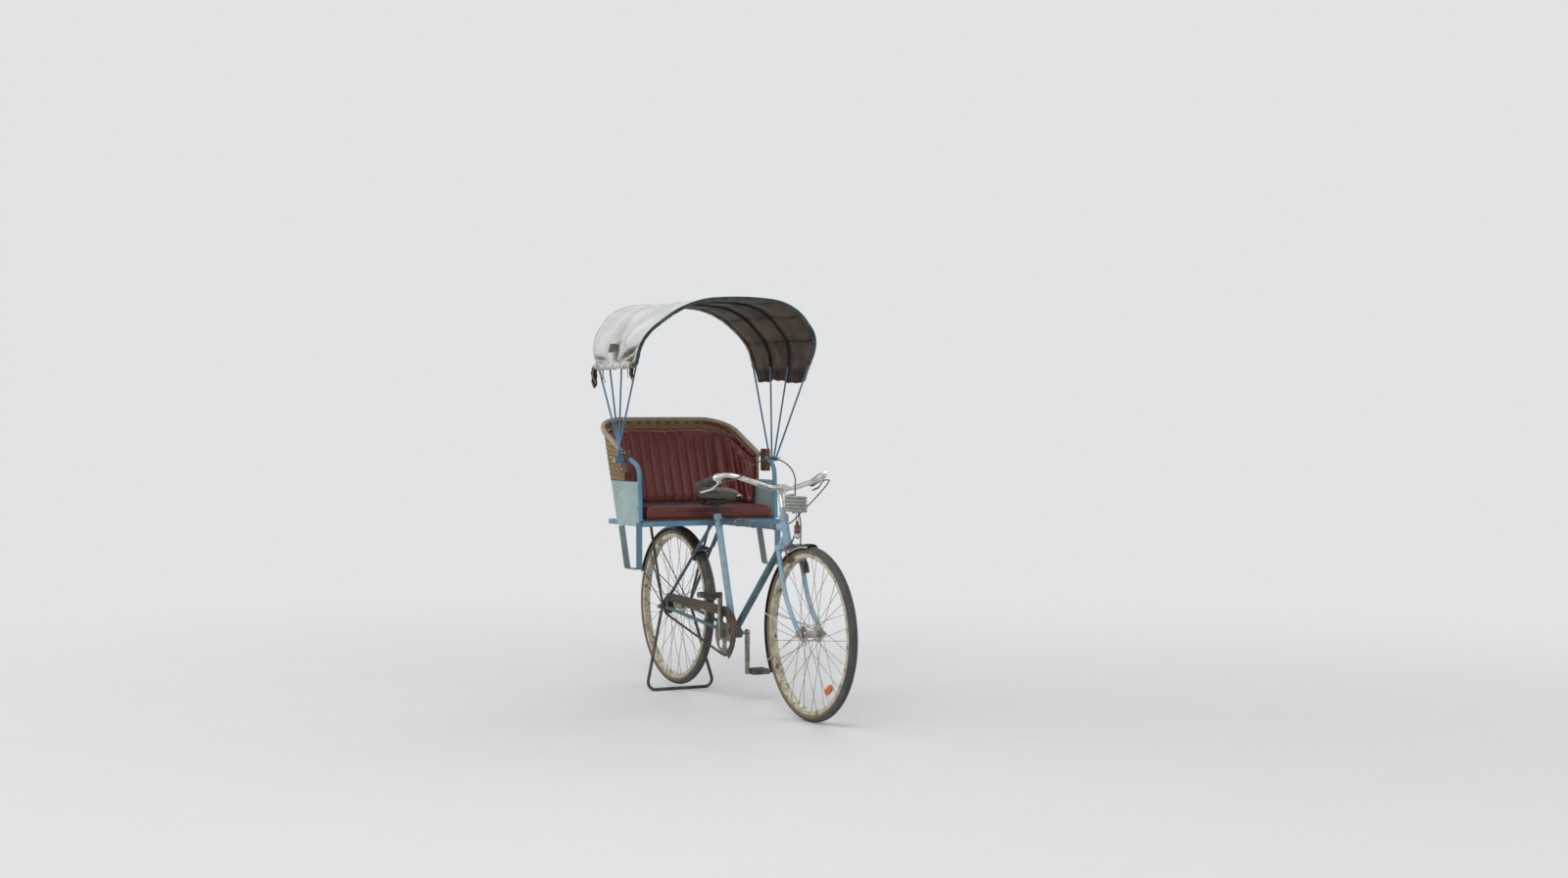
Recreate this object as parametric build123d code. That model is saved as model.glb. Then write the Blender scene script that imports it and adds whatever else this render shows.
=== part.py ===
from build123d import *
import math
import os

# A two-wheeled cycle rickshaw parked on its rear stand, in millimetres. +X is forward, +Y is the
# rider's left, +Z is up. The origin is on the floor below the middle of the wheels.
# Names ending in _forward are distances ahead of the rear axle.

# Stance
wheel_radius = 355
wheelbase = 1235
stand_lift = 22
fork_rake = 68
head_lean = 18.5
seat_lean = 17

# Clearances
seat_gap = 0.3
pivot_gap = 0.4

# Wheels
tyre_section_radius = 19
rim_half_width = 15
rim_depth = 17
rim_wall = 2.2
bead_half_width = 12
spoke_count = 36
spoke_radius = 1.1
spoke_swing = 52
flange_radius = 30
flange_thickness = 3
front_flange_side = 34
rear_flange_side = 30
hub_radius = 15
axle_radius = 5

# Frame tubes
tube_wall = 2
top_tube_radius = 14
down_tube_radius = 15
seat_tube_radius = 15
stay_radius = 8
head_tube_radius = 16
lug_thickness = 2.5
lug_reach = 34
shell_radius = 21
shell_half_width = 34
crank_forward = 560
crank_height = 300
top_joint_drop = 39.2
down_joint_rise = 30.8
head_tube_length = 108
seat_tube_rise = 28
seat_post_depth = 106
saddle_rise = 99.6
bridge_reach = 353

# Fork and steering, measured up the steering axis from the foot nearest the front axle
crown_gap = 16
crown_thickness = 22
lower_race = 7
steerer_radius = 12.5
headset_radius = 20
upper_race = 14
blade_radius = 10
blade_side = 50
blade_bend_up = 155
stem_radius = 11
stem_height = 114
stem_overlap = 70
stem_reach = 28
bar_radius = 11
clamp_radius = 17
grip_radius = 15.5
grip_length = 118

# Rear end stack along the axle, from the middle out
dropout_inner = 58
dropout_thickness = 5
stay_eye_thickness = 2
strut_eye_thickness = 4
strut_radius = 6
stand_plate_thickness = 5
nut_radius = 10
nut_thickness = 9
axle_free_end = 12

# Drive
chain_side = 44
chain_pitch = 12.7
chain_roller_radius = 4
chain_plate_height = 8
chain_half_width = 4
chain_sheet = 1.2
chainwheel_teeth = 46
sprocket_teeth = 20
tooth_thickness = 3
gullet_lift = 1.4
crank_length = 170
crank_inner = 60
crank_thickness = 12
pedal_length = 84
pedal_width = 70
pedal_height = 24
spindle_radius = 8
guard_side = 54
guard_sheet = 1.6
guard_depth = 16
guard_hinge_forward = 368
guard_tail_forward = 42
guard_splay = 3.2

# Mudguards
mudguard_gap = 10
mudguard_sheet = 1.2
mudguard_half_angle = 62
mudguard_stay_radius = 2.4

# Passenger seat
seat_half_width = 334
seat_rail = 22
seat_rail_gap = 12.8
seat_rail_side = 316
seat_front_forward = 330
seat_rear_forward = -10
sheet = 2.5
metal_rise = 194
body_rise = 484
back_low_forward = -14
back_high_forward = -182
back_corner = 130
rim_front_forward = 168
rim_front_rise = 298
rim_slope = 25
rim_radius = 10
board_thickness = 8
cushion_thickness = 46
pad_thickness = 38
pad_below_metal = 112
armrest_radius = 10
stirrup_width = 28
stirrup_thickness = 4
stirrup_drop = 195

# Hood
pin_forward = 212
pin_rise = 286
pin_radius = 5
block_ahead = 18
block_length = 52
hood_rise = 700
hoop_radius = 4
hoop_first_side = 366
hoop_pitch = 10
hoop_spread = 30
hoop_leans = [-26, -8, 12, 32]
hem_length = 87
shoulder_side = 250
shoulder_drop = 20
spring_drop = 200
hoop_eye_radius = 11
hoop_eye_thickness = 6
canvas_thickness = 2

# Rear stand
stand_rod_radius = 7
stand_half_width = 170
stand_foot_forward = 40

# Shares of a leg that a hoop's bend takes: of the hem's leg, the shoulder's and the crown's
spring_share = 0.9
shoulder_share = 0.49
crown_share = 0.4

bottom = (Align.CENTER, Align.CENTER, Align.MIN)
far = 2000
rear_axle_height = wheel_radius + stand_lift
tyre_middle = wheel_radius - tyre_section_radius
rim_outer = tyre_middle - 9
rim_inner = rim_outer - rim_depth
sprocket_radius = chain_pitch / 2 / math.sin(math.pi / sprocket_teeth)
chainwheel_radius = chain_pitch / 2 / math.sin(math.pi / chainwheel_teeth)
head_angle = math.radians(head_lean)
stay_eye_inner = dropout_inner + dropout_thickness + seat_gap
strut_eye_inner = stay_eye_inner + stay_eye_thickness + seat_gap
stand_plate_inner = strut_eye_inner + strut_eye_thickness + pivot_gap
nut_inner = stand_plate_inner + stand_plate_thickness + pivot_gap
mudguard_radius = tyre_section_radius + mudguard_gap
crown_low = wheel_radius + crown_gap
crown_high = crown_low + crown_thickness
head_tube_low = crown_high + lower_race
head_tube_high = head_tube_low + head_tube_length
stem_top = head_tube_high + stem_height
seat_rail_height = (rear_axle_height + tyre_middle + mudguard_radius + mudguard_sheet
                    + seat_rail_gap + seat_rail / 2)
body_low = seat_rail_height - seat_rail / 2
metal_top = body_low + metal_rise
body_top = body_low + body_rise
rim_front_height = body_low + rim_front_rise
pin_height = body_low + pin_rise
stirrup_height = seat_rail_height - stirrup_drop


def at(forward, side, height):
    return Vector(forward - wheelbase / 2, side, height)


rear_axle = at(0, 0, rear_axle_height)
front_axle = at(wheelbase, 0, wheel_radius)
crank_axle = at(crank_forward, 0, crank_height)
hood_pin = at(pin_forward, 0, pin_height)

# Local x runs forward, local z up the steering axis
steering = Plane(
    origin=front_axle - Vector(math.cos(head_angle), 0, math.sin(head_angle)) * fork_rake,
    x_dir=(math.cos(head_angle), 0, math.sin(head_angle)),
    z_dir=(-math.sin(head_angle), 0, math.cos(head_angle)),
)


def steered(ahead, side, up):
    return steering.from_local_coords((ahead, side, up))


def rod(start, end, radius):
    run = Vector(end) - Vector(start)
    return Plane(origin=start, z_dir=run) * Cylinder(radius, run.length, align=bottom)


def tube(start, end, radius, wall):
    return rod(start, end, radius) - rod(start, end, radius - wall)


def bent_rod(points, bends, radius):
    path = FilletPolyline(*points, radius=bends)
    return sweep(Plane(origin=path @ 0, z_dir=path % 0) * Circle(radius), path=path)


def across(centre, side_from, side_to, radius):
    """A round pin along Y, between two distances to the left of the centre."""
    return rod(centre + Vector(0, side_from, 0), centre + Vector(0, side_to, 0), radius)


def mirrored(shape):
    return mirror(shape, about=Plane.XZ)


def pair(shape):
    return Compound([*shape.solids(), *mirrored(shape).solids()])


def turned(outline, centre):
    """Revolves a profile, x as radius and y as side, about the wheel axis."""
    return Pos(centre) * revolve(outline, Axis.Y)


# Wheels
def tyre(centre):
    """Flat bands round the wheel: tread, shoulders, walls and the bead in the rim."""
    full = tyre_section_radius
    half = [(wheel_radius, 0.45 * full), (tyre_middle + 0.25 * full, full),
            (rim_outer + seat_gap, bead_half_width),
            (rim_inner + rim_wall + seat_gap, bead_half_width)]
    outline = Polyline(*half, *[(radius, -side) for radius, side in half[::-1]], close=True)
    return turned(make_face(outline), centre)


def rim(centre):
    outer = Pos(rim_inner, 0) * Rectangle(
        rim_depth, 2 * rim_half_width, align=(Align.MIN, Align.CENTER))
    channel = Pos(rim_inner + rim_wall, 0) * Rectangle(
        rim_depth, 2 * (rim_half_width - rim_wall), align=(Align.MIN, Align.CENTER))
    return turned(outer - channel, centre)


def hub(centre, flange_side, length):
    barrel = across(centre, -length / 2, length / 2, hub_radius)
    for side in (-flange_side, flange_side):
        barrel += across(centre, side - flange_thickness / 2, side + flange_thickness / 2,
                         flange_radius + 4)
    return barrel - across(centre, -length, length, axle_radius + seat_gap)


def spokes(centre, flange_side):
    rods = []
    for index in range(spoke_count):
        side = 1 if index % 2 else -1
        trailing = 1 if index // 2 % 2 else -1
        angle = math.radians(index * 360 / spoke_count)
        foot = math.radians(trailing * spoke_swing) + angle
        offset = flange_thickness / 2 + spoke_radius + 0.2
        start = centre + Vector(
            flange_radius * math.cos(foot),
            side * (flange_side + trailing * offset),
            flange_radius * math.sin(foot))
        reach = rim_inner - seat_gap
        end = centre + Vector(reach * math.cos(angle), side * 3, reach * math.sin(angle))
        rods.append(rod(start, end, spoke_radius))
    return Compound(rods)


def cog(centre, teeth, pitch_radius, side):
    link_middle = pitch_radius * math.cos(math.pi / teeth)
    tip = link_middle - chain_roller_radius - seat_gap
    disc = across(centre, side - tooth_thickness / 2, side + tooth_thickness / 2, tip)
    reach = tip + gullet_lift
    for index in range(teeth):
        angle = 2 * math.pi * index / teeth
        gullet = centre + Vector(reach * math.cos(angle), 0, reach * math.sin(angle))
        disc -= across(gullet, side - tooth_thickness, side + tooth_thickness, chain_roller_radius)
    return disc


def sprocket():
    body = across(rear_axle, -chain_side - 5, -chain_side + 6, 24)
    return (cog(rear_axle, sprocket_teeth, sprocket_radius, -chain_side) + body
            - across(rear_axle, -chain_side - 9, -chain_side + 9, axle_radius + seat_gap))


# Frame
head_low = steered(0, 0, head_tube_low)
head_high = steered(0, 0, head_tube_high)


def on_seat_tube(height):
    back = (height - crank_height) * math.tan(math.radians(seat_lean))
    return at(crank_forward - back, 0, height)


head_joint = steered(0, 0, head_tube_high - top_joint_drop)
down_joint = steered(0, 0, head_tube_low + down_joint_rise)
top_tube_height = head_joint.Z
seat_tube_top = top_tube_height + seat_tube_rise
saddle_height = seat_tube_top + saddle_rise
seat_cluster = on_seat_tube(top_tube_height)


def toward(start, end, distance):
    return start + (end - start).normalized() * distance


def head_tube():
    body = rod(head_low, head_high, head_tube_radius)
    for end, other in ((head_low, head_high), (head_high, head_low)):
        body += rod(end, toward(end, other, 12), headset_radius - 1)
    for joint, target, radius in (
            (head_joint, seat_cluster, top_tube_radius),
            (down_joint, crank_axle, down_tube_radius)):
        body += rod(joint, toward(joint, target, head_tube_radius + lug_reach),
                    radius + lug_thickness)
    bore = rod(steered(0, 0, 0), steered(0, 0, stem_top), steerer_radius + pivot_gap)
    return body - bore


def seat_tube():
    top = on_seat_tube(seat_tube_top)
    body = rod(crank_axle, top, seat_tube_radius)
    body += rod(on_seat_tube(top_tube_height - 24), top, seat_tube_radius + lug_thickness)
    body += rod(seat_cluster, toward(seat_cluster, head_joint, seat_tube_radius + lug_reach - 8),
                top_tube_radius + lug_thickness)
    bore = rod(on_seat_tube(crank_height + 60), on_seat_tube(seat_tube_top + 5),
               seat_tube_radius - tube_wall)
    return body - bore - across(crank_axle, -60, 60, shell_radius + 9)


def bottom_bracket():
    body = across(crank_axle, -shell_half_width, shell_half_width, shell_radius)
    for target, radius in ((seat_cluster, seat_tube_radius), (down_joint, down_tube_radius)):
        body += rod(crank_axle, toward(crank_axle, target, shell_radius + 24),
                    radius + lug_thickness)
    return body - across(crank_axle, -60, 60, spindle_radius + seat_gap)


def chain_stays(shell):
    plate_side = dropout_inner + dropout_thickness / 2
    start = at(crank_forward - shell_radius + 2, 26, crank_height + 6)
    end = rear_axle + Vector(24, plate_side, -4)
    stay = rod(start, end, stay_radius) - shell
    plate = across(rear_axle, dropout_inner, dropout_inner + dropout_thickness, 17)
    plate += Pos(rear_axle + Vector(20, plate_side, 4)) * Box(32, dropout_thickness, 30)
    return pair(stay + plate - across(rear_axle, 0, 200, axle_radius))


def seat_stay_ends():
    plate_side = dropout_inner + dropout_thickness / 2
    return (rear_axle + Vector(20, plate_side, 24),
            seat_cluster + Vector(2, seat_tube_radius + 5, 6))


def seat_stays(cluster, dropouts):
    start, end = seat_stay_ends()
    bridge_at = toward(start, end, bridge_reach)
    body = rod(start, end, stay_radius - 1)
    bridge = rod(bridge_at, bridge_at - Vector(0, bridge_at.Y, 0), stay_radius - 2)
    both = body + mirrored(body) + bridge + mirrored(bridge)
    return both - cluster - dropouts


def rear_axle_rod():
    end = nut_inner + nut_thickness + axle_free_end
    body = across(rear_axle, -end, end, axle_radius)
    for side in (-1, 1):
        body += across(rear_axle, side * nut_inner, side * (nut_inner + nut_thickness), nut_radius)
        body += across(rear_axle, side * 50, side * (dropout_inner - seat_gap), nut_radius - 1)
    return body - Compound(chain_stay_plates())


def chain_stay_plates():
    return [across(rear_axle, side * dropout_inner, side * (dropout_inner + dropout_thickness), 17)
            - across(rear_axle, -far, far, axle_radius) for side in (-1, 1)]


def mudguard(centre, start_angle, end_angle):
    """A curved strip around the tyre from one angle to the other, counted up from ahead."""
    inner = mudguard_radius
    spread = math.radians(mudguard_half_angle)
    points = []
    for radius in (inner, inner + mudguard_sheet):
        points.append([(tyre_middle + radius * math.cos(a), radius * math.sin(a))
                       for a in (-spread, 0, spread)])
    outline = make_face([
        ThreePointArc(*points[0]), Line(points[0][2], points[1][2]),
        ThreePointArc(*points[1]), Line(points[1][0], points[0][0])])
    swept = revolve(outline, Axis.Y, end_angle - start_angle)
    return Pos(centre) * Rot(0, -end_angle, 0) * swept


def mudguard_stays(centre, angles, eye_inner):
    """Wire stays from an eye on each axle end to the mudguard's edge."""
    stays = []
    edge = mudguard_radius + mudguard_sheet / 2
    spread = math.radians(mudguard_half_angle)
    reach = tyre_middle + edge * math.cos(spread)
    for side in (-1, 1):
        wire_side = side * (eye_inner + mudguard_stay_radius + 0.2)
        body = across(centre, side * eye_inner, side * (eye_inner + stay_eye_thickness), 14)
        for degrees in angles:
            angle = math.radians(degrees)
            tip = centre + Vector(reach * math.cos(angle), side * edge * math.sin(spread),
                                  reach * math.sin(angle))
            foot = centre + Vector(11.6 * math.cos(angle), wire_side, 11.6 * math.sin(angle))
            body += rod(foot, tip, mudguard_stay_radius)
        stays.append(body - across(centre, -far, far, axle_radius + 0.2))
    return stays


def guarded(centre, start_angle, end_angle, stay_angles, eye_inner):
    body = mudguard(centre, start_angle, end_angle)
    for stay in mudguard_stays(centre, stay_angles, eye_inner):
        body += stay
    return body


def below_saddle(ahead, side, drop):
    """A point counted forward from the seat tube's line and down from the saddle's middle."""
    return Vector(on_seat_tube(saddle_height).X + ahead, side, saddle_height - drop)


def saddle():
    nose, tail = below_saddle(243, 0, 9), below_saddle(-23, 0, 0)
    run = nose.X - tail.X
    sections = []
    for share, half_width, height, lift in (
            (0, 92, 26, 4), (0.28, 104, 44, 0), (0.55, 46, 40, -4), (0.82, 27, 34, -4),
            (1, 17, 22, -8)):
        place = Plane(origin=(tail.X + run * share, 0, tail.Z + lift), x_dir=(0, 1, 0),
                      z_dir=(1, 0, 0))
        sections.append(place * Ellipse(half_width, height / 2))
    return loft(sections)


def ribbed(base, height, inner, outer, ribs):
    """A round post whose side is a row of ribs, as a coil looks."""
    pitch = height / ribs
    points = [(0, 0), (inner, 0)]
    for rib in range(ribs):
        points += [(outer, (rib + 0.3) * pitch), (outer, (rib + 0.7) * pitch),
                   (inner, (rib + 1) * pitch)]
    points.append((0, height))
    return Pos(base) * revolve(Plane.XZ * make_face(Polyline(*points, close=True)), Axis.Z)


def saddle_frame():
    top = on_seat_tube(saddle_height - 37.6)
    post = rod(on_seat_tube(seat_tube_top - seat_post_depth), top,
               seat_tube_radius - tube_wall - seat_gap)
    body = post + across(top, -26, 26, 15)
    for side in (-22, 22):
        rail = [below_saddle(-23, side * 2.4, 31.6), below_saddle(13, side, 43.6),
                below_saddle(95, side, 43.6), below_saddle(195, side / 2, 23.6)]
        body += bent_rod(rail, [60, 90], 3.5)
    plate_drop = 57.6
    for side in (-50, 50):
        body += ribbed(below_saddle(-13, side, plate_drop), 33, 10, 16, 6)
        body += rod(below_saddle(-13, side, plate_drop - 32), below_saddle(-13, side, 20.6), 4)
    body += rod(below_saddle(-13, -50, plate_drop), below_saddle(-13, 50, plate_drop), 5)
    return body + rod(below_saddle(-13, 0, plate_drop), top, 6)


# Drive
def chain_path(offset):
    """The closed chain line, moved outward by an offset."""
    front, rear = chainwheel_radius + offset, sprocket_radius + offset
    run = crank_axle - rear_axle
    distance = run.length
    tilt = math.atan2(run.Z, run.X)
    lean = math.asin((front - rear) / distance)
    points = {}
    for name, centre, radius in (("rear", rear_axle, rear), ("front", crank_axle, front)):
        for edge, sign in (("top", 1), ("low", -1)):
            angle = tilt + sign * (math.pi / 2 + lean)
            points[name, edge] = (centre.X + radius * math.cos(angle),
                                  centre.Z + radius * math.sin(angle))
        far = tilt + (math.pi if name == "rear" else 0)
        points[name, "far"] = (centre.X + radius * math.cos(far),
                               centre.Z + radius * math.sin(far))
    return points


def chain_region(offset):
    points = chain_path(offset)
    edges = [
        Line(points["rear", "top"], points["front", "top"]),
        ThreePointArc(points["front", "top"], points["front", "far"], points["front", "low"]),
        Line(points["front", "low"], points["rear", "low"]),
        ThreePointArc(points["rear", "low"], points["rear", "far"], points["rear", "top"])]
    return make_face(edges)


def chain():
    """A run of inner links, with a wider and taller outer link over every second one."""
    half = chain_plate_height / 2
    inner_half = half - 0.8
    inner_side = chain_half_width - chain_sheet
    band = chain_region(inner_half) - chain_region(-inner_half)
    body = Plane.XZ.offset(chain_side - inner_side) * extrude(band, 2 * inner_side)
    line = chain_region(0).face().outer_wire()
    links = 2 * round(line.length / chain_pitch / 2)
    outer_links = []
    for index in range(0, links, 2):
        start, end = line @ (index / links), line @ ((index + 1) / links)
        run = (end - start).normalized() * half
        lift = Vector(-run.Y, run.X)
        outline = Polyline(
            start - run, start - run * 0.4 + lift, end + run * 0.4 + lift,
            end + run, end + run * 0.4 - lift, start - run * 0.4 - lift, close=True)
        block = extrude(make_face(outline), 2 * chain_half_width)
        outer_links.append(Plane.XZ.offset(chain_side - chain_half_width) * block)
    return body + outer_links


def chainwheel():
    disc = cog(crank_axle, chainwheel_teeth, chainwheel_radius, -chain_side)
    for index in range(5):
        angle = 2 * math.pi * index / 5 + 0.3
        window = crank_axle + Vector(57 * math.cos(angle), 0, 57 * math.sin(angle))
        disc -= across(window, -chain_side - 9, -chain_side + 9, 19)
    return disc - across(crank_axle, -90, 0, 15 + seat_gap)


def crankset():
    body = across(crank_axle, -crank_inner - 4, crank_inner + 4, spindle_radius)
    body += across(crank_axle, -crank_inner, -chain_side + tooth_thickness, 15)
    for side in (-1, 1):
        arm = Pos(0, 0) * Circle(15) + Pos(0, crank_length) * Circle(11)
        arm += Polygon((-13, 0), (13, 0), (10, crank_length), (-10, crank_length), align=None)
        plane = Plane(origin=crank_axle + Vector(0, side * crank_inner, 0),
                      x_dir=(side, 0, 0), z_dir=(0, side, 0))
        flip = -1 if side == 1 else 1
        solid = extrude(plane * (arm if plane.y_dir.Z * flip > 0 else mirror(arm, about=Plane.XZ)),
                        crank_thickness)
        body += solid
        end = crank_axle + Vector(0, 0, -side * crank_length)
        body += across(end, side * crank_inner, side * pedal_axle_end, axle_radius)
    return body


pedal_inner = crank_inner + crank_thickness + 4
pedal_axle_end = pedal_inner + pedal_length + 2


def pedal(side):
    centre = crank_axle + Vector(0, 0, -side * crank_length)
    body = across(centre, side * pedal_inner, side * (pedal_inner + pedal_length), 9)
    for plate_side in (pedal_inner, pedal_inner + pedal_length - 3):
        middle = centre + Vector(0, side * (plate_side + 1.5), 0)
        body += Pos(middle) * Box(pedal_width, 3, pedal_height - 4)
    block_width = 20
    for ahead in (-1, 1):
        middle = centre + Vector(ahead * (pedal_width - block_width) / 2,
                                 side * (pedal_inner + pedal_length / 2), 0)
        body += Pos(middle) * Box(block_width, pedal_length - 6, pedal_height)
    return body - across(centre, -300, 300, axle_radius + seat_gap)


def curl(centre, radius, start, end):
    """An arc about a centre in the XZ plane, between two angles in degrees."""
    points = []
    for degrees in (start, (start + end) / 2, end):
        angle = math.radians(degrees)
        points.append((centre.X + radius * math.cos(angle), centre.Z + radius * math.sin(angle)))
    return ThreePointArc(*points)


def guard_half(shape, side):
    """A plate with a flange turned in along its upper edge."""
    depth = guard_depth
    plate = Plane.XZ.offset(side) * extrude(shape, guard_sheet)
    lowered = Pos(0, -guard_sheet) * shape
    flange = Plane.XZ.offset(side - depth) * extrude(shape - lowered, depth)
    return plate + flange


def chain_guard():
    """A hockey-stick cover: a strip over the top run that curls round the chainwheel."""
    outer, inner = chainwheel_radius + 24, chainwheel_radius - 14
    hinge = at(guard_hinge_forward, 0, 0).X
    tail = at(guard_tail_forward, 0, 0).X
    top = crank_axle.Z + outer
    tail_top = rear_axle_height + sprocket_radius + 22
    hinge_top = top + (tail_top - top) * (crank_axle.X - hinge) / (crank_axle.X - tail)
    over, under = curl(crank_axle, outer, 90, -62), curl(crank_axle, inner, -62, 90)
    ring = make_face([
        over, Line(over @ 1, under @ 0), under,
        Line(under @ 1, (hinge, hinge_top - 36)),
        Line((hinge, hinge_top - 36), (hinge, hinge_top)), Line((hinge, hinge_top), over @ 0)])
    strip = make_face(Polyline(
        (hinge, hinge_top - 36), (hinge, hinge_top), (tail + 12, tail_top),
        (tail, tail_top - 12), (tail, tail_top - 26), (tail + 8, tail_top - 34), close=True))
    front = guard_half(ring, guard_side)
    rear = guard_half(strip, guard_side)
    pivot = Pos(hinge, -guard_side, 0)
    rear = pivot * Rot(0, 0, guard_splay) * pivot.inverse() * rear
    body = front + rear
    room = Plane.XZ.offset(guard_side - guard_depth - 30) * extrude(
        chain_region(chain_plate_height / 2 + 5), guard_depth + 29)
    return body - room - grown_seat_stays()


def grown_seat_stays():
    start, end = seat_stay_ends()
    stay = rod(start, end, stay_radius - 1 + seat_gap)
    return stay + mirrored(stay)


# Steering body
def fork():
    crown = Pos(0, 0) * SlotOverall(2 * blade_side + 26, 30)
    body = steering * Pos(0, 0, crown_low) * extrude(Rot(0, 0, 90) * crown, crown_high - crown_low)
    body += rod(steered(0, 0, crown_low + 4), steered(0, 0, stem_top - stem_overlap), steerer_radius)
    body += rod(steered(0, 0, crown_high - 1), steered(0, 0, head_tube_low - pivot_gap),
                headset_radius)
    body += rod(steered(0, 0, head_tube_high + pivot_gap), steered(0, 0, head_tube_high + upper_race),
                headset_radius)
    for side in (-1, 1):
        tip = front_axle + Vector(0, side * (blade_side + 2.5), 0)
        path = [steered(0, side * blade_side, crown_low + 6),
                steered(0, side * (blade_side + 1), blade_bend_up), tip]
        blade = bent_rod(path, [320], blade_radius)
        body += blade
        body += across(front_axle, side * blade_side, side * (blade_side + 5), 14)
        body -= across(front_axle, side * (blade_side + 5), side * 2 * blade_side, 16)
        body -= across(front_axle, 0, side * blade_side, 18)
    return body - across(front_axle, -far, far, axle_radius)


def front_axle_rod():
    ends = blade_side + 5 + seat_gap + stay_eye_thickness + seat_gap
    body = across(front_axle, -ends - 12, ends + 12, axle_radius)
    for side in (-1, 1):
        body += across(front_axle, side * ends, side * (ends + nut_thickness), nut_radius - 1)
        body += across(front_axle, side * 44, side * (blade_side - seat_gap), nut_radius - 1)
    return body


bar_centre = steered(stem_reach, 0, stem_top + 8)


def stem():
    path = [steered(0, 0, head_tube_high + upper_race + pivot_gap),
            steered(0, 0, stem_top - 4), bar_centre]
    body = bent_rod(path, [12], stem_radius)
    body += across(bar_centre, -21, 21, clamp_radius)
    body += rod(bar_centre + Vector(14, 0, -26), bar_centre + Vector(14, 0, -8), 5)
    body -= across(bar_centre, -60, 60, bar_radius + seat_gap)
    return body - rod(steered(0, 0, 0), steered(0, 0, stem_top - stem_overlap + seat_gap),
                      steerer_radius + seat_gap)


# Forward, side and height of the bar's corners from its middle, going outward
bar_corners = [(0, 60, 0), (14, 142, 26), (-36, 236, 62), (-238, 272, 8)]


def bar_points():
    left = [bar_centre + Vector(*corner) for corner in bar_corners]
    right = [Vector(p.X, -p.Y, p.Z) for p in left]
    return [*reversed(left), *right]


def handlebar():
    return bent_rod(bar_points(), [80, 90, 100, 100, 90, 80], bar_radius)


def grips():
    end, corner = bar_points()[0], bar_points()[1]
    outer = rod(toward(end, corner, -4), toward(end, corner, grip_length), grip_radius)
    return pair(outer - rod(end, toward(end, corner, grip_length + 9), bar_radius + seat_gap))


def lever_pivot():
    """The left lever's pivot and the direction of the bar there."""
    end, corner = bar_points()[0], bar_points()[1]
    run = (corner - end).normalized()
    return toward(end, corner, grip_length + 22) + Vector(0, 0, -26) + run * 4, run


def brake_levers():
    end, corner = bar_points()[0], bar_points()[1]
    mount = toward(end, corner, grip_length + 22)
    pivot, run = lever_pivot()
    collar = rod(mount - run * 9, mount + run * 9, bar_radius + 5)
    collar -= rod(mount - run * 20, mount + run * 20, bar_radius + seat_gap)
    drop = Vector(0, 0, -1)
    body = collar + rod(mount + drop * (bar_radius + 3), pivot, 6)
    path = [pivot, pivot - run * 46 + drop * 14, end + drop * 34 + run * 22]
    body += bent_rod(path, [60], 4.5)
    body -= rod(mount - run * 20, mount + run * 20, bar_radius + seat_gap)
    return pair(body)


def front_mudguard():
    eye = blade_side + 5 + seat_gap
    return guarded(front_axle, 88, 211, (170, 203), eye)


def arm_shoulder(axle, bolt, ahead, standoff):
    """The bend of a brake's left arm, beside the mudguard."""
    lower = (axle - bolt).normalized()
    return bolt + ahead * standoff + Vector(0, brake_half_width, 0) + lower * 10


def calliper(axle, bolt, ahead, standoff):
    """Side-pull brake arms from a bolt above the tyre down to a pad at each rim face."""
    lower = (axle - bolt).normalized()
    middle = axle - lower * (rim_inner + rim_depth / 2)
    body = rod(bolt, bolt + ahead * (standoff + 8), brake_arm_radius)
    shoulder = arm_shoulder(axle, bolt, ahead, standoff)
    for side in (-1, 1):
        top = bolt + ahead * standoff
        bend = Vector(shoulder.X, side * shoulder.Y, shoulder.Z)
        foot = top + lower * ((middle - bolt).length - 4) + Vector(0, side * (rim_half_width + 14), 0)
        body += bent_rod([top, bend, foot], [14], brake_arm_radius)
        centre = middle + ahead * standoff + Vector(0, side * (rim_half_width + 3 + 5), 0)
        place = Plane(origin=centre, x_dir=ahead, z_dir=(0, side, 0))
        body += place * Box(44, 10, 10)
        body += rod(centre, foot, 4)
    return body


brake_arm_radius = 4.5
brake_half_width = mudguard_radius + 9
front_brake_place = (front_axle, steered(24, 0, (crown_low + crown_high) / 2),
                     Vector(*steering.x_dir), 6)


def rear_brake_place():
    start, end = seat_stay_ends()
    bridge = toward(start, end, bridge_reach)
    bolt = Vector(bridge.X, 0, bridge.Z)
    inward = (rear_axle - bolt).normalized()
    return rear_axle, bolt, Vector(inward.Z, 0, -inward.X), 16


cable_radius = 2.6
cable_seat = seat_gap + cable_radius


def cable(points):
    """A cable of straight runs joined by the largest arcs that they allow."""
    bends = []
    for before, here, after in zip(points, points[1:], points[2:]):
        into, out = here - before, after - here
        half_turn = math.radians(into.get_angle(out)) / 2
        bends.append(0.45 * min(into.length, out.length) / math.tan(half_turn))
    return bent_rod(points, bends, cable_radius)


def cable_stop():
    """Where the loop from the bar meets the cable that is clipped along the top tube."""
    return head_joint + Vector(-60, top_tube_radius + cable_seat, 0)


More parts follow.
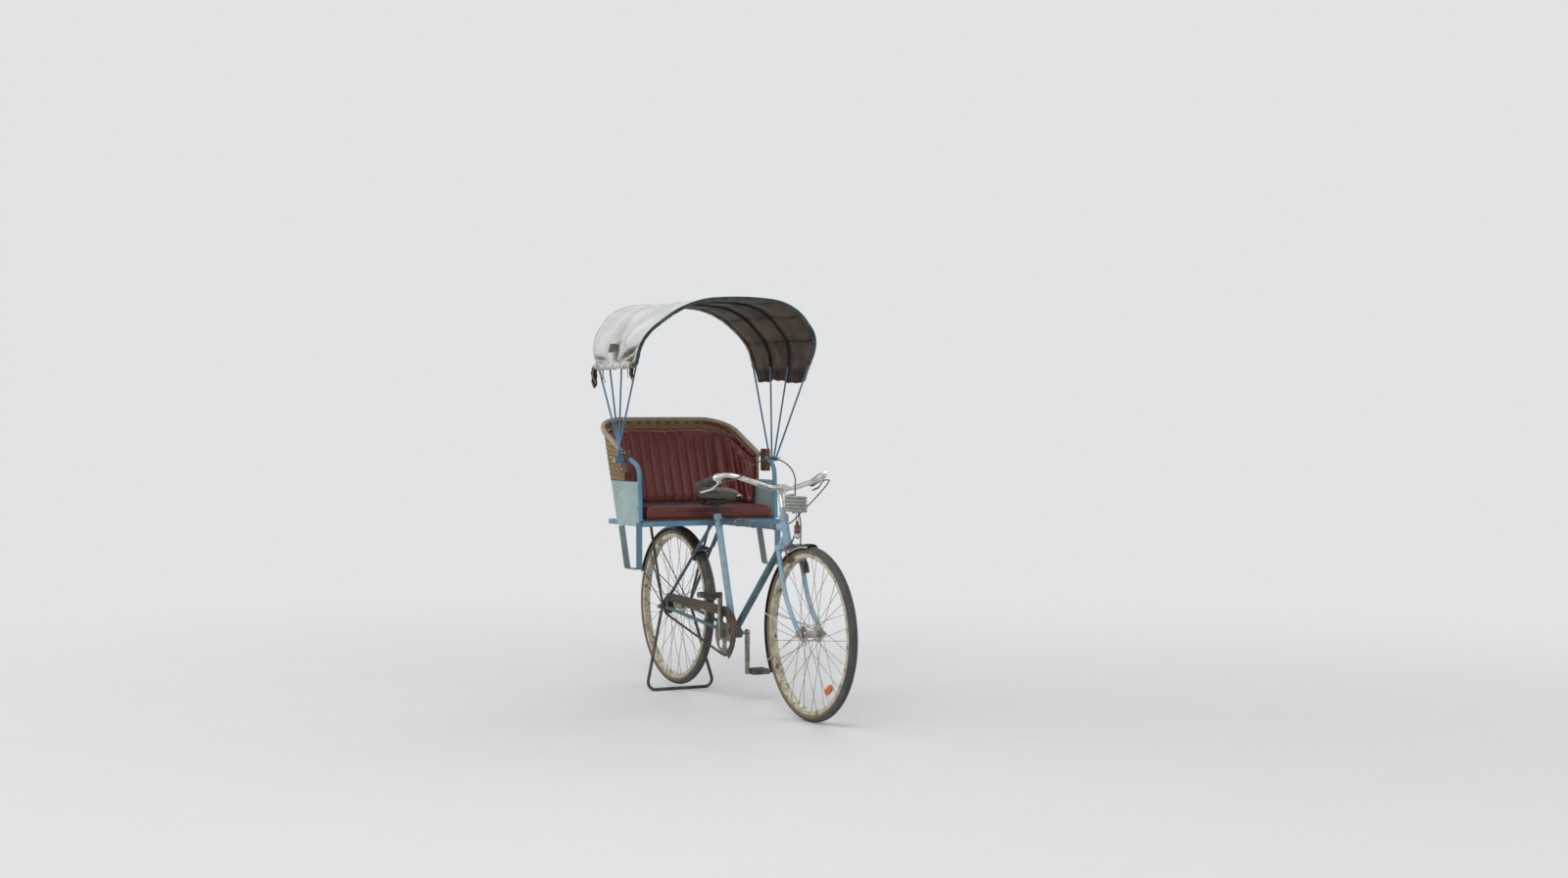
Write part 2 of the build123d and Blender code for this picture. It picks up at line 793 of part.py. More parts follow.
def cable_loops(brake):
    """The front brake's cable, and the loop of the rear brake's cable that bends as it steers."""
    pivot, run = lever_pivot()
    left = pivot + run * 6.4 + Vector(0, 0, 4)
    right = Vector(left.X, -left.Y, left.Z)
    front = [right, bar_centre + Vector(0, -208, 32), bar_centre + Vector(48, -160, 108),
             bar_centre + Vector(62, -60, 132), bar_centre + Vector(68, 26, 70),
             steered(40, 42, crown_high + 190), steered(50, 50, crown_high + 90),
             steered(38, 42, crown_high + 20), arm_shoulder(*front_brake_place)]
    stop = cable_stop()
    rear = [left, bar_centre + Vector(6, 222, 34), bar_centre + Vector(52, 190, 20),
            bar_centre + Vector(72, 118, -40), bar_centre + Vector(48, 52, -108),
            stop + Vector(50, 14, 14), stop + Vector(1.5, 0, 0)]
    to_brake = cable(front) - brake
    return Compound([*to_brake.solids(), *cable(rear).solids()])


def rear_cable(brake):
    """The clipped cable: along the top tube, past the stay's end and down the stay to the brake."""
    stay_start, stay_end = seat_stay_ends()
    beside_stay = Vector(0, stay_radius + cable_seat + 0.5, 0)
    stop = cable_stop()
    low = toward(stay_start, stay_end, bridge_reach + 14)
    points = [stop, Vector(stay_end.X + 52, stop.Y, stop.Z), stay_end + beside_stay,
              low + beside_stay, arm_shoulder(*rear_brake_place())]
    return cable(points) - brake


# The ringed lock and the lamp sit ahead of the head tube
lock_core_radius = 35
lock_ring_radius = 47
lock_turns = 6
lock_height = 80
lamp_middle = steered(86.8, 0, crown_high + 19.3)


def ring_lock():
    low = steered(102.7, 0, head_tube_high - 10.3)
    body = ribbed(low, lock_height, lock_ring_radius - 5, lock_ring_radius, lock_turns)
    body -= Pos(low) * Cylinder(lock_core_radius, 3 * lock_height)
    hook = low + Vector(-lock_core_radius - 4, 0, 48)
    target = steered(stem_radius + 1.2, 0, 0) + steering.z_dir * (
        (hook.Z - steering.origin.Z) / math.cos(head_angle) + 1)
    return body + rod(hook, Vector(target.X, 0, target.Z), 6)


def lamp():
    """A small shell that hangs from a bracket on the crown, with its domed lens below."""
    body = rod(lamp_middle + Vector(0, 0, 4), lamp_middle + Vector(0, 0, 40), 13)
    body += rod(lamp_middle + Vector(0, 0, 38), lamp_middle + Vector(0, 0, 56), 7)
    dome = Polyline((0, 4), (12, 4), (11, -7), (6, -15), (0, -17), close=True)
    body += Pos(lamp_middle) * revolve(Plane.XZ * make_face(dome), Axis.Z)
    arm = [steered(headset_radius - 2, 0, crown_high + 3), steered(38, 0, crown_high + 5),
           lamp_middle + Vector(0, 0, 30)]
    return body + bent_rod(arm, [10], 3) - fork_solid


def dynamo():
    centre = steered(30, blade_side - 2, 288)
    up = Vector(*steering.z_dir)
    body = rod(centre - up * 22, centre + up * 20, 13)
    body += rod(centre + up * 19, centre + up * 34, 9)
    arm = steered(blade_radius + 1, blade_side, 292)
    return body + rod(arm, centre, 5)


# Passenger seat
def seat_rails(grow):
    """Two side rails and two cross rails of square tube, as blocks grown by a gap."""
    front = seat_front_forward
    middle = (front + seat_rear_forward) / 2
    length = front - seat_rear_forward + seat_rail
    rails = [(middle, side * seat_rail_side, length, seat_rail) for side in (-1, 1)]
    rails += [(forward, 0, seat_rail, 2 * seat_rail_side)
              for forward in (seat_rear_forward + 50, front)]
    body = Part()
    for forward, side, depth, width in rails:
        body += Pos(at(forward, side, seat_rail_height)) * Box(
            depth + 2 * grow, width + 2 * grow, seat_rail + 2 * grow)
    return body


def seat_frame():
    """The rails with a tongue that reaches forward to the seat tube."""
    height = seat_rail_height - 3
    start = at(seat_front_forward, 0, height)
    reach = on_seat_tube(height).X - start.X
    tongue = Pos(start) * Box(reach, 20, 16, align=(Align.MIN, Align.CENTER, Align.CENTER))
    grown_tube = rod(crank_axle, on_seat_tube(900), seat_tube_radius + lug_thickness + seat_gap)
    return seat_rails(0) + (tongue - grown_tube)


def seat_struts():
    """Rods from the axle ends up to the rear cross rail, flattened at the axle."""
    low, high = strut_eye_inner, strut_eye_inner + strut_eye_thickness
    eye_side = (low + high) / 2
    top = at(seat_rear_forward + 50, 150, seat_rail_height - seat_rail / 2 - seat_gap)
    knee = rear_axle + Vector(-2, eye_side + 9, 44)
    strut = bent_rod([rear_axle + Vector(0, eye_side, 6), knee, top], [120], strut_radius)
    strut += across(rear_axle, low, high, 10)
    strut -= Pos(rear_axle) * Box(60, 2 * low, 52)
    strut -= across(rear_axle, high, 150, 17)
    strut -= across(rear_axle, 0, 150, axle_radius + 0.2)
    return pair(strut - seat_rails(seat_gap))


def plan(height, back, inset, front):
    """The seat body's plan: straight sides, a straight back and two round corners."""
    half = seat_half_width - inset
    rear = at(back + inset, 0, 0).X
    ahead = at(front, 0, 0).X
    outline = Polyline((ahead, -half), (rear, -half), (rear, half), (ahead, half), close=True)
    face = make_face(outline)
    corners = face.vertices().sort_by(Axis.X)[:2]
    return Pos(0, 0, height) * fillet(corners, back_corner - inset)


def back_at(height):
    share = (height - body_low) / (body_top - body_low)
    return back_low_forward + share * (back_high_forward - back_low_forward)


def body_block(low, high, inset, front, grow=0):
    return loft([plan(low - grow, back_at(low - grow), inset, front),
                 plan(high + grow, back_at(high + grow), inset, front)], ruled=True)


def wall(low, high, inner, outer, front):
    return body_block(low, high, outer, front) - body_block(low, high, inner, front + 20, 5)


rim_plane = Plane(
    origin=at(rim_front_forward, 0, rim_front_height), x_dir=(0, 1, 0),
    z_dir=(math.sin(math.radians(rim_slope)), 0, math.cos(math.radians(rim_slope))))


def above_rim(drop):
    return rim_plane.offset(-drop) * Box(far, far, far, align=bottom)


def armrest_path():
    return [at(seat_front_forward - 2, seat_half_width - 1, seat_rail_height + seat_rail / 2 + 2),
            at(seat_front_forward - 16, seat_half_width - 1, pin_height - 27),
            at(pin_forward + block_ahead + seat_gap, seat_half_width + 4, pin_height + 4)]


def armrests():
    return pair(bent_rod(armrest_path(), [60], armrest_radius))


def metal_body():
    body = wall(body_low, metal_top, sheet, 0, seat_front_forward - 8)
    body -= seat_rails(seat_gap)
    sleeve = bent_rod(armrest_path(), [60], armrest_radius + seat_gap)
    body -= sleeve
    body -= mirrored(sleeve)
    return max(body.solids(), key=lambda s: s.volume)


def cane_back():
    body = wall(metal_top + seat_gap, body_top, sheet + 3, -3, rim_front_forward)
    return body - above_rim(0)


def back_pad():
    inner = sheet + 3 + 1 + pad_thickness
    low = metal_top - pad_below_metal
    body = wall(low, body_top, inner, sheet + 4, rim_front_forward - 6)
    return body - above_rim(10)


def back_rim():
    front = at(rim_front_forward, 0, rim_front_height)
    slope = math.radians(rim_slope)
    lift = rim_radius + seat_gap
    rise = (back_low_forward - back_high_forward) / (body_top - body_low)
    run = rim_front_forward - back_at(rim_front_height)
    depth = run / (math.cos(slope) - math.sin(slope) * rise) if slope else run
    points = []
    for length, side in ((0, 1), (depth, 1), (depth, -1), (0, -1)):
        points.append(front + Vector(
            -length * math.cos(slope) + lift * math.sin(slope),
            side * seat_half_width,
            length * math.sin(slope) + lift * math.cos(slope)))
    return bent_rod(points, [back_corner + 6, back_corner + 6], rim_radius)


def seat_board():
    low = seat_rail_height + seat_rail / 2 + seat_gap
    depth = seat_front_forward - 30
    board = Pos(at(15, 0, low)) * Box(depth, 2 * seat_rail_side + 16, board_thickness,
                                      align=(Align.MIN, Align.CENTER, Align.MIN))
    return board & body_block(body_low, body_top, sheet + 1, seat_front_forward + 70)


def seat_cushion():
    low = seat_rail_height + seat_rail / 2 + seat_gap + board_thickness + seat_gap
    block = Pos(at(10, 0, low)) * Box(seat_front_forward - 2, 2 * seat_rail_side - 6,
                                      cushion_thickness,
                                      align=(Align.MIN, Align.CENTER, Align.MIN))
    block &= body_block(body_low, body_top, sheet + 4, seat_front_forward + 70)
    return fillet(block.edges().group_by(Axis.Z)[-1], 0.3 * cushion_thickness)


def stirrups():
    """Straps bent down from the side rails, with a flat tread for the passenger's feet."""
    side = seat_rail_side + (seat_rail + stirrup_width) / 2 + seat_gap
    path = [at(seat_front_forward, side, seat_rail_height + 8),
            at(seat_front_forward, side, stirrup_height),
            at(208, side, stirrup_height),
            at(148, side, seat_rail_height - 12)]
    line = FilletPolyline(*path, radius=[16, 16])
    plane = Plane(origin=line @ 0, z_dir=line % 0, x_dir=(1, 0, 0))
    return pair(sweep(plane * Rectangle(stirrup_thickness, stirrup_width), path=line))


def pivot_blocks():
    inner = seat_half_width + 2
    block = Pos(at(pin_forward + block_ahead, inner, pin_height - 4)) * Box(
        block_length, 22, 100, align=(Align.MAX, Align.MIN, Align.CENTER))
    block = fillet(block.edges().filter_by(Axis.Y), 8)
    block -= across(hood_pin, 200, 500, pin_radius)
    return pair(block - armrests())


def hood_pins():
    inner = seat_half_width + 2
    end = hoop_side(len(hoop_leans) - 1) + hoop_radius
    body = across(hood_pin, inner, end + 8, pin_radius)
    body += across(hood_pin, end + 1 + seat_gap, end + 7, 8)
    return pair(body)


# Hood
def hoop_plane(lean):
    angle = math.radians(lean)
    return Plane(origin=hood_pin, x_dir=(0, 1, 0),
                 z_dir=(math.cos(angle), 0, -math.sin(angle)))


def hoop_side(index):
    return hoop_first_side + index * hoop_pitch


def hem_foot(index):
    return (hood_rise - spring_drop - hem_length) / math.cos(math.radians(hoop_leans[index]))


def hoop_corners(index, foot, grow=0):
    """Corner points and radii of a hoop in its own plane, moved outward by grow."""
    reach = hood_rise / math.cos(math.radians(hoop_leans[index]))
    side = hoop_side(index)
    half = [Vector(side, 0), Vector(side + hoop_spread, reach - spring_drop),
            Vector(shoulder_side, reach - shoulder_drop), Vector(0, reach)]
    corners = half + [Vector(-point.X, point.Y) for point in half[-2::-1]]
    runs = [(after - here).normalized() for here, after in zip(corners, corners[1:])]
    moved = []
    for number, corner in enumerate(corners):
        into = runs[max(number - 1, 0)]
        out = runs[min(number, len(runs) - 1)]
        outward = Vector(into.Y, -into.X)
        normal = (outward + Vector(out.Y, -out.X)).normalized()
        moved.append(corner + normal * (grow / normal.dot(outward)))
    bends = []
    legs = [hem_length * spring_share, (half[2] - half[1]).length * shoulder_share,
            (half[3] - half[2]).length * crown_share]
    for number, leg in enumerate(legs):
        turn = math.radians(runs[number].get_angle(runs[number + 1]))
        bends.append(leg / math.tan(turn / 2) + grow)
    share = (foot - moved[0].Y) / (moved[1].Y - moved[0].Y)
    start = moved[0] + (moved[1] - moved[0]) * share
    moved[0], moved[-1] = start, Vector(-start.X, start.Y)
    return [(point.X, point.Y) for point in moved], bends + bends[1::-1]


def hoop_line(index, foot, grow=0):
    corners, bends = hoop_corners(index, foot, grow)
    return FilletPolyline(*corners, radius=bends)


def hoop(index):
    corners, bends = hoop_corners(index, hoop_eye_radius - 2)
    place = hoop_plane(hoop_leans[index])
    path = place * FilletPolyline(*corners, radius=bends)
    body = sweep(Plane(origin=path @ 0, z_dir=path % 0) * Circle(hoop_radius), path=path)
    side = hoop_side(index)
    half = hoop_eye_thickness / 2
    for sign in (-1, 1):
        body += across(hood_pin, sign * side - half, sign * side + half, hoop_eye_radius)
        body -= across(hood_pin, sign * side - half - 3, sign * side + half + 3,
                       pin_radius + seat_gap)
    return body


def canvas_section(index):
    lean = hoop_leans[index]
    foot = hem_foot(index)
    rise = (hoop_radius + pivot_gap) / math.cos(math.radians(lean))
    inner = hoop_line(index, foot, rise)
    outer = hoop_line(index, foot, rise + canvas_thickness)
    face = make_face([*outer.edges(), Line(outer @ 1, inner @ 1), *inner.edges(),
                      Line(inner @ 0, outer @ 0)])
    return hoop_plane(lean) * face


def canvas(index):
    return loft([canvas_section(index), canvas_section(index + 1)], ruled=True)


# Rear stand
def rear_stand():
    plate_side = stand_plate_inner + stand_plate_thickness / 2
    foot_height = stand_rod_radius
    path = [rear_axle + Vector(0, plate_side + 2, -12),
            at(stand_foot_forward, stand_half_width, foot_height),
            at(stand_foot_forward, -stand_half_width, foot_height),
            rear_axle + Vector(0, -plate_side - 2, -12)]
    body = bent_rod(path, [34, 34], stand_rod_radius)
    for side in (-1, 1):
        low, high = stand_plate_inner, stand_plate_inner + stand_plate_thickness
        body -= across(rear_axle, 0, side * low, 30)
        body -= across(rear_axle, side * high, side * (high + 30), 17)
        body += across(rear_axle, side * low, side * high, 15)
    return body - across(rear_axle, -far, far, axle_radius + pivot_gap)


shell = bottom_bracket()
lugged_head = head_tube()
lugged_seat_tube = seat_tube()
seat_frame_solid = seat_frame()
stays_solid = chain_stays(shell)
fork_solid = fork()
frame_cut = [shell, lugged_head, lugged_seat_tube]
seat_stays_solid = seat_stays(lugged_seat_tube, stays_solid)
front_brake_solid = calliper(*front_brake_place) - fork_solid
rear_brake_solid = calliper(*rear_brake_place()) - seat_stays_solid


def cut_by(body, others):
    for other in others:
        body -= other
    return body


def main_tube(start, end, radius):
    return cut_by(tube(start, end, radius, tube_wall), frame_cut)


nodes = {
    "head_tube": lugged_head,
    "top_tube": max(main_tube(seat_cluster, head_joint, top_tube_radius).solids(),
                    key=lambda s: s.volume),
    "down_tube": max(main_tube(crank_axle, down_joint, down_tube_radius).solids(),
                     key=lambda s: s.volume),
    "seat_tube": max((lugged_seat_tube - shell).solids(), key=lambda s: s.volume),
    "bottom_bracket": shell,
    "chain_stays": stays_solid,
    "seat_stays": seat_stays_solid,
    "rear_axle": rear_axle_rod(),
    "saddle": saddle(),
    "saddle_frame": saddle_frame(),
    "rear_mudguard": guarded(rear_axle, 8, 158, (132, 154), stay_eye_inner),
    "rear_brake": rear_brake_solid,
    "rear_cable": rear_cable(rear_brake_solid),
    "chain_guard": chain_guard(),
    "chain": chain(),
    "seat_struts": seat_struts(),
    "seat_frame": seat_frame_solid,
    "stirrups": stirrups(),
    "seat_board": seat_board(),
    "seat_cushion": seat_cushion(),
    "metal_body": metal_body(),
    "cane_back": cane_back(),
    "back_pad": back_pad(),
    "back_rim": back_rim(),
    "armrests": armrests(),
    "pivot_blocks": pivot_blocks(),
    "hood_pins": hood_pins(),
    "fork": fork_solid,
    "front_axle": front_axle_rod(),
    "stem": stem(),
    "handlebar": handlebar(),
    "grips": grips(),
    "brake_levers": brake_levers(),
    "front_mudguard": front_mudguard(),
    "front_brake": front_brake_solid,
    "cable_loops": cable_loops(front_brake_solid),
    "ring_lock": ring_lock(),
    "lamp": lamp(),
    "dynamo": dynamo(),
    "rear_stand": rear_stand(),
    "chainwheel": chainwheel(),
    "crankset": crankset(),
    "pedal_left": pedal(1),
    "pedal_right": pedal(-1),
    "sprocket": sprocket(),
}
for name, centre, flange_side, length in (
        ("front", front_axle, front_flange_side, 84), ("rear", rear_axle, rear_flange_side, 74)):
    nodes[f"{name}_tyre"] = tyre(centre)
    nodes[f"{name}_rim"] = rim(centre)
    nodes[f"{name}_hub"] = hub(centre, flange_side, length)
    nodes[f"{name}_spokes"] = spokes(centre, flange_side)
for index in range(len(hoop_leans)):
    nodes[f"hoop_{index + 1}"] = hoop(index)
for index in range(len(hoop_leans) - 1):
    nodes[f"canvas_{index + 1}"] = canvas(index)

os.makedirs("parts", exist_ok=True)
for name, shape in nodes.items():
    export_step(shape, f"parts/{name}.step")
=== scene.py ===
import math

import bmesh
import bpy
import numpy as np
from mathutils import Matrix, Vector


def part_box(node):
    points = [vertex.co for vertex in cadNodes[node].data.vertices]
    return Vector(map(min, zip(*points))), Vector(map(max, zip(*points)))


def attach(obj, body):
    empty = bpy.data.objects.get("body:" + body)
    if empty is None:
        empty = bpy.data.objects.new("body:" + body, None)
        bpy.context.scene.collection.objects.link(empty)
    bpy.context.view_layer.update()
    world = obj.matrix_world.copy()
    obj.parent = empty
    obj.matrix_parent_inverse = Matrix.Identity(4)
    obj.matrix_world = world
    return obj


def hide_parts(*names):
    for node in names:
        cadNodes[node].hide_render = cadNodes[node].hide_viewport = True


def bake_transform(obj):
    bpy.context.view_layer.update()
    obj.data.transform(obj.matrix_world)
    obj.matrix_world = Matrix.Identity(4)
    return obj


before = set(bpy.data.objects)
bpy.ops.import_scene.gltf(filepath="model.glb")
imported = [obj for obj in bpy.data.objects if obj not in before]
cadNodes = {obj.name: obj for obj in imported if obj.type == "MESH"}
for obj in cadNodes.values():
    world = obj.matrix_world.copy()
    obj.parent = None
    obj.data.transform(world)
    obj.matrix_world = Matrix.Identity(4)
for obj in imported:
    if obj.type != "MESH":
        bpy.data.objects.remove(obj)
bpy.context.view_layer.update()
print("frame loaded")

scene = bpy.context.scene
scene.view_settings.view_transform = "Standard"

# Places that the pieces share, in metres. Forward is counted from the rear axle.
bike = {"wheelbase": 1.235, "rearAxle": 0.377, "frontAxle": 0.355, "pin": (0.212, 1.042)}
upward = np.array([0, 0, 1.0])


def at(forward, side, up):
    # forward of the rear axle, to the rider's left, above the floor
    return np.array([forward - bike["wheelbase"] / 2, side, up])


def srgb(red, green, blue):
    # a colour as a screen shows it, 0 to 255, made linear
    return tuple(((c / 255 + 0.055) / 1.055) ** 2.4 for c in (red, green, blue)) + (1.0,)


class Socket:
    # An output of a node. Arithmetic on it adds Math nodes.
    def __init__(self, finish, output):
        self.finish, self.output = finish, output

    def __add__(self, other):
        return self.finish.math("ADD", self, other)

    def __radd__(self, other):
        return self.finish.math("ADD", other, self)

    def __sub__(self, other):
        return self.finish.math("SUBTRACT", self, other)

    def __rsub__(self, other):
        return self.finish.math("SUBTRACT", other, self)

    def __mul__(self, other):
        return self.finish.math("MULTIPLY", self, other)

    def __rmul__(self, other):
        return self.finish.math("MULTIPLY", other, self)


class Finish:
    # One material. node() adds any other node: its type, its settings, then what its sockets take.
    def __init__(self, name, **constants):
        self.material = bpy.data.materials.new(name)
        self.material.use_nodes = True
        self.tree = self.material.node_tree
        self.tree.nodes.clear()
        self.shader = self.node("BsdfPrincipled", None, constants)
        self.node("OutputMaterial", None, {"Surface": self.shader}, output=None)
        self.coordinates = self.node("TexCoord", output="Object")

    def node(self, kind, settings=None, values=None, output=0):
        made = self.tree.nodes.new("ShaderNode" + kind)
        for key, value in (settings or {}).items():
            setattr(made, key, value)
        for key, value in (values or {}).items():
            self.feed(made.inputs[key.replace("_", " ") if isinstance(key, str) else key], value)
        return None if output is None else Socket(self, made.outputs[output])

    def feed(self, socket, value):
        if isinstance(value, Socket):
            self.tree.links.new(value.output, socket)
        elif value is not None:
            socket.default_value = value

    def math(self, operation, *values):
        return self.node("Math", {"operation": operation}, dict(enumerate(values)))

    def mix(self, mask, first, second):
        return self.node("Mix", {"data_type": "RGBA"}, {0: mask, 6: first, 7: second}, output=2)

    def step(self, value, low, high, start=0.0, end=1.0):
        # a smooth rise from start to end while value goes from low to high
        return self.node("MapRange", {"interpolation_type": "SMOOTHSTEP"},
                         {0: value, 1: low, 2: high, 3: start, 4: end})

    def noise(self, scale, detail=3.0, roughness=0.5, stretch=(1, 1, 1), move=(0, 0, 0)):
        place = self.node("Mapping", None, {
            "Vector": self.coordinates, "Location": move, "Scale": stretch})
        return self.node("TexNoise", None, {
            "Vector": place, "Scale": scale, "Detail": detail, "Roughness": roughness})

    def bands(self, axis, scale):
        return self.node("TexWave", {"bands_direction": axis},
                         {"Vector": self.coordinates, "Scale": scale}, output=1)

    def axis(self, name):
        return self.node("SeparateXYZ", None, {0: self.coordinates}, output=name)

    def attribute(self, name):
        return self.node("Attribute", {"attribute_name": name}, output="Fac")

    def useUv(self):
        # patterns follow the piece's own UV map, which is in metres
        self.coordinates = self.node("TexCoord", output="UV")

    def surface(self, color, roughness, metallic=None, height=None, depth=0.001, coat=None):
        inputs = self.shader.output.node.inputs
        bump = None
        if height is not None:
            bump = self.node("Bump", None, {"Height": height, "Distance": depth, "Strength": 1.0})
        for key, value in (("Base Color", color), ("Roughness", roughness),
                           ("Metallic", metallic), ("Normal", bump), ("Coat Weight", coat)):
            self.feed(inputs[key], value)
        return self.material


rustDark, rustLight = srgb(58, 36, 24), srgb(128, 78, 44)
roadDust = srgb(128, 120, 104)


def paint(name, color, faded, chipScale, chipFrom, dusty, stained, roughness, second=None):
    # Old paint: the colour drifts, chips go down to rust, and dust lies in broad patches that
    # are thicker lower down. second is another colour past a line.
    made = Finish(name, Specular_IOR_Level=0.5)
    drift = made.noise(7, 4, 0.6)
    patches = made.step(made.noise(16, 6, 0.65), 0.42, 0.72)
    chips = made.step(made.noise(chipScale, 8, 0.68, move=(3, 1, 2)), chipFrom, chipFrom + 0.025)
    stain = made.step(made.noise(chipScale * 0.6, 5, 0.6, move=(3, 1, 2)),
                      chipFrom - 0.1, chipFrom + 0.1)
    grain = made.noise(420, 3)
    dust = patches * made.step(made.axis("Z"), 1.1, 0.15, 0.2, 1.0) * dusty
    tone = made.mix(made.step(drift, 0.3, 0.7), srgb(*color), srgb(*faded))
    if second:
        axis, near, far, other = second
        place = made.math("ABSOLUTE", made.axis(axis)) if axis == "Y" else made.axis(axis)
        tone = made.mix(made.step(place, near, far), tone, srgb(*other))
    tone = made.mix(dust, tone, roadDust)
    tone = made.mix(stain * stained, tone, rustLight)
    tone = made.mix(chips, tone, made.mix(grain, rustDark, rustLight))
    rough = made.noise(30, 4) * 0.16 + roughness + dust * 0.3 + chips * 0.3
    brush = made.noise(90, 3, 0.5, stretch=(1, 1, 0.15))
    height = brush * 0.25 + grain * 0.12 - chips * 0.9
    return made.surface(tone, rough, 0.0, height, 0.0006)


def metal(name, color, dulled, rustScale, rustFrom, roughness, metallic):
    # Plated or bare metal: fine scratches, dull patches, and rust that starts in specks.
    made = Finish(name)
    dull = made.step(made.noise(24, 5, 0.6), 0.4, 0.7)
    scratch = made.noise(260, 2, 0.5, stretch=(0.2, 1, 1))
    rust = made.step(made.noise(rustScale, 9, 0.7), rustFrom, rustFrom + 0.06)
    grain = made.noise(600, 2)
    tone = made.mix(dull, srgb(*color), srgb(*dulled))
    tone = made.mix(rust, tone, made.mix(grain, rustDark, rustLight))
    rough = roughness + dull * 0.18 + scratch * 0.1 + rust * 0.4
    return made.surface(tone, rough, (1 - rust * 0.85) * metallic,
                        scratch * 0.2 + rust * grain * 0.8, 0.0004)


def rubber(name, color, dusty):
    # Matt rubber: dust in the pores and a fine grain.
    made = Finish(name)
    pores = made.noise(900, 2)
    dust = made.step(made.noise(22, 5, 0.65), 0.38, 0.75) * dusty
    return made.surface(made.mix(dust, srgb(*color), roadDust), 0.62 + dust * 0.25, 0.0, pores,
                        0.0003)


def wood(name, dark, light, stretch):
    # Worn board: long grain, darker lines in it, and grey where hands and rain reach.
    made = Finish(name)
    grain = made.noise(40, 6, 0.65, stretch=stretch)
    lines = made.step(made.noise(120, 4, 0.6, stretch=stretch), 0.5, 0.62)
    grey = made.step(made.noise(12, 4), 0.45, 0.75) * 0.5
    tone = made.mix(grain, srgb(*dark), srgb(*light))
    tone = made.mix(lines * 0.6, tone, srgb(*dark))
    tone = made.mix(grey, tone, roadDust)
    return made.surface(tone, 0.72 - grain * 0.15, 0.0, grain * 0.6 - lines * 0.5, 0.0008)


def vinyl(name, color, worn, dark, roughness):
    # Old vinyl: leather grain in cells, a soft gloss, worn paler on the high places.
    made = Finish(name, Specular_IOR_Level=0.55)
    cells = made.node("TexVoronoi", {"feature": "F1"}, {"Vector": made.coordinates, "Scale": 520})
    creases = made.noise(46, 6, 0.7)
    wear = made.step(made.noise(14, 4, 0.6), 0.45, 0.75)
    tone = made.mix(wear * 0.55, srgb(*color), srgb(*worn))
    tone = made.mix(made.step(creases, 0.6, 0.75) * 0.5, tone, srgb(*dark))
    rough = roughness + wear * 0.2 + creases * 0.12
    return made.surface(tone, rough, 0.0, cells * 0.5 + creases * 0.9, 0.0007)


def glass(name, color, roughness, clear):
    # Moulded lens: clear, with faint upright flutes.
    made = Finish(name, Transmission_Weight=clear, IOR=1.49)
    dust = made.step(made.noise(60, 4), 0.4, 0.7)
    return made.surface(srgb(*color), roughness + dust * 0.25, 0.0, made.bands("Y", 120.0), 0.0004)


def cloth(name, color, worn):
    # Plain cloth or cord: thread bands and fading.
    made = Finish(name)
    threads = made.noise(300, 3, 0.6, stretch=(1, 1, 0.3))
    fade = made.step(made.noise(30, 4), 0.4, 0.7)
    return made.surface(made.mix(fade, srgb(*color), srgb(*worn)), 0.85 - threads * 0.1, 0.0,
                        threads, 0.0006)


def shell(name, color, scratched):
    # Painted lamp shell: smooth, with a few scratches.
    made = Finish(name, Coat_Roughness=0.12)
    marks = made.step(made.noise(120, 4, 0.6), 0.6, 0.68)
    tone = made.mix(marks * 0.5, srgb(*color), srgb(*scratched))
    return made.surface(tone, 0.3 + marks * 0.3, 0.0, marks, 0.0002, coat=0.6)


def sleeve(name, color, scuffed, darkening):
    # Plastic sleeve over the lock's cord: fine ribs, scuffs, darker bands between the turns.
    made = Finish(name)
    scuff = made.step(made.noise(50, 6, 0.65), 0.45, 0.7)
    tone = made.mix(scuff * 0.6, srgb(*color), srgb(*scuffed))
    tone = made.mix(made.step(made.bands("Z", 24.0), 0.35, 0.0) * 0.5, tone, srgb(*darkening))
    return made.surface(tone, 0.45 + scuff * 0.3, 0.0, made.noise(700, 2), 0.0003)


def tyreRubber(name, tread, dusty, wall, wallDark):
    # Tread grey with dust; each sidewall turns tan below the shoulder, with a thin dark bead line.
    made = Finish(name)
    made.useUv()  # u runs round the wheel, v round the section: 0 and 1 at the beads
    fromMiddle = made.math("ABSOLUTE", made.axis("Y") - 0.5)
    tan = made.step(fromMiddle, 0.265, 0.285) - made.step(fromMiddle, 0.425, 0.44)
    dust = made.step(made.noise(9, 6, 0.65, stretch=(1, 0.4, 1)), 0.35, 0.7)
    pores = made.noise(160, 3)
    scuffs = made.noise(40, 5, 0.7)
    tone = made.mix(dust * 0.55, srgb(*tread), srgb(*dusty))
    tone = made.mix(tan, tone, made.mix(scuffs, srgb(*wall), srgb(*wallDark)))
    return made.surface(tone, 0.7 + dust * 0.15, 0.0, pores * 0.5 + scuffs * 0.3, 0.0005)


def weave(made):
    # Over-and-under weave: two sets of bands whose product alternates.
    warp, weft = made.bands("X", 31.0), made.bands("Y", 31.0)
    return warp * (1 - weft) + weft * (1 - warp)


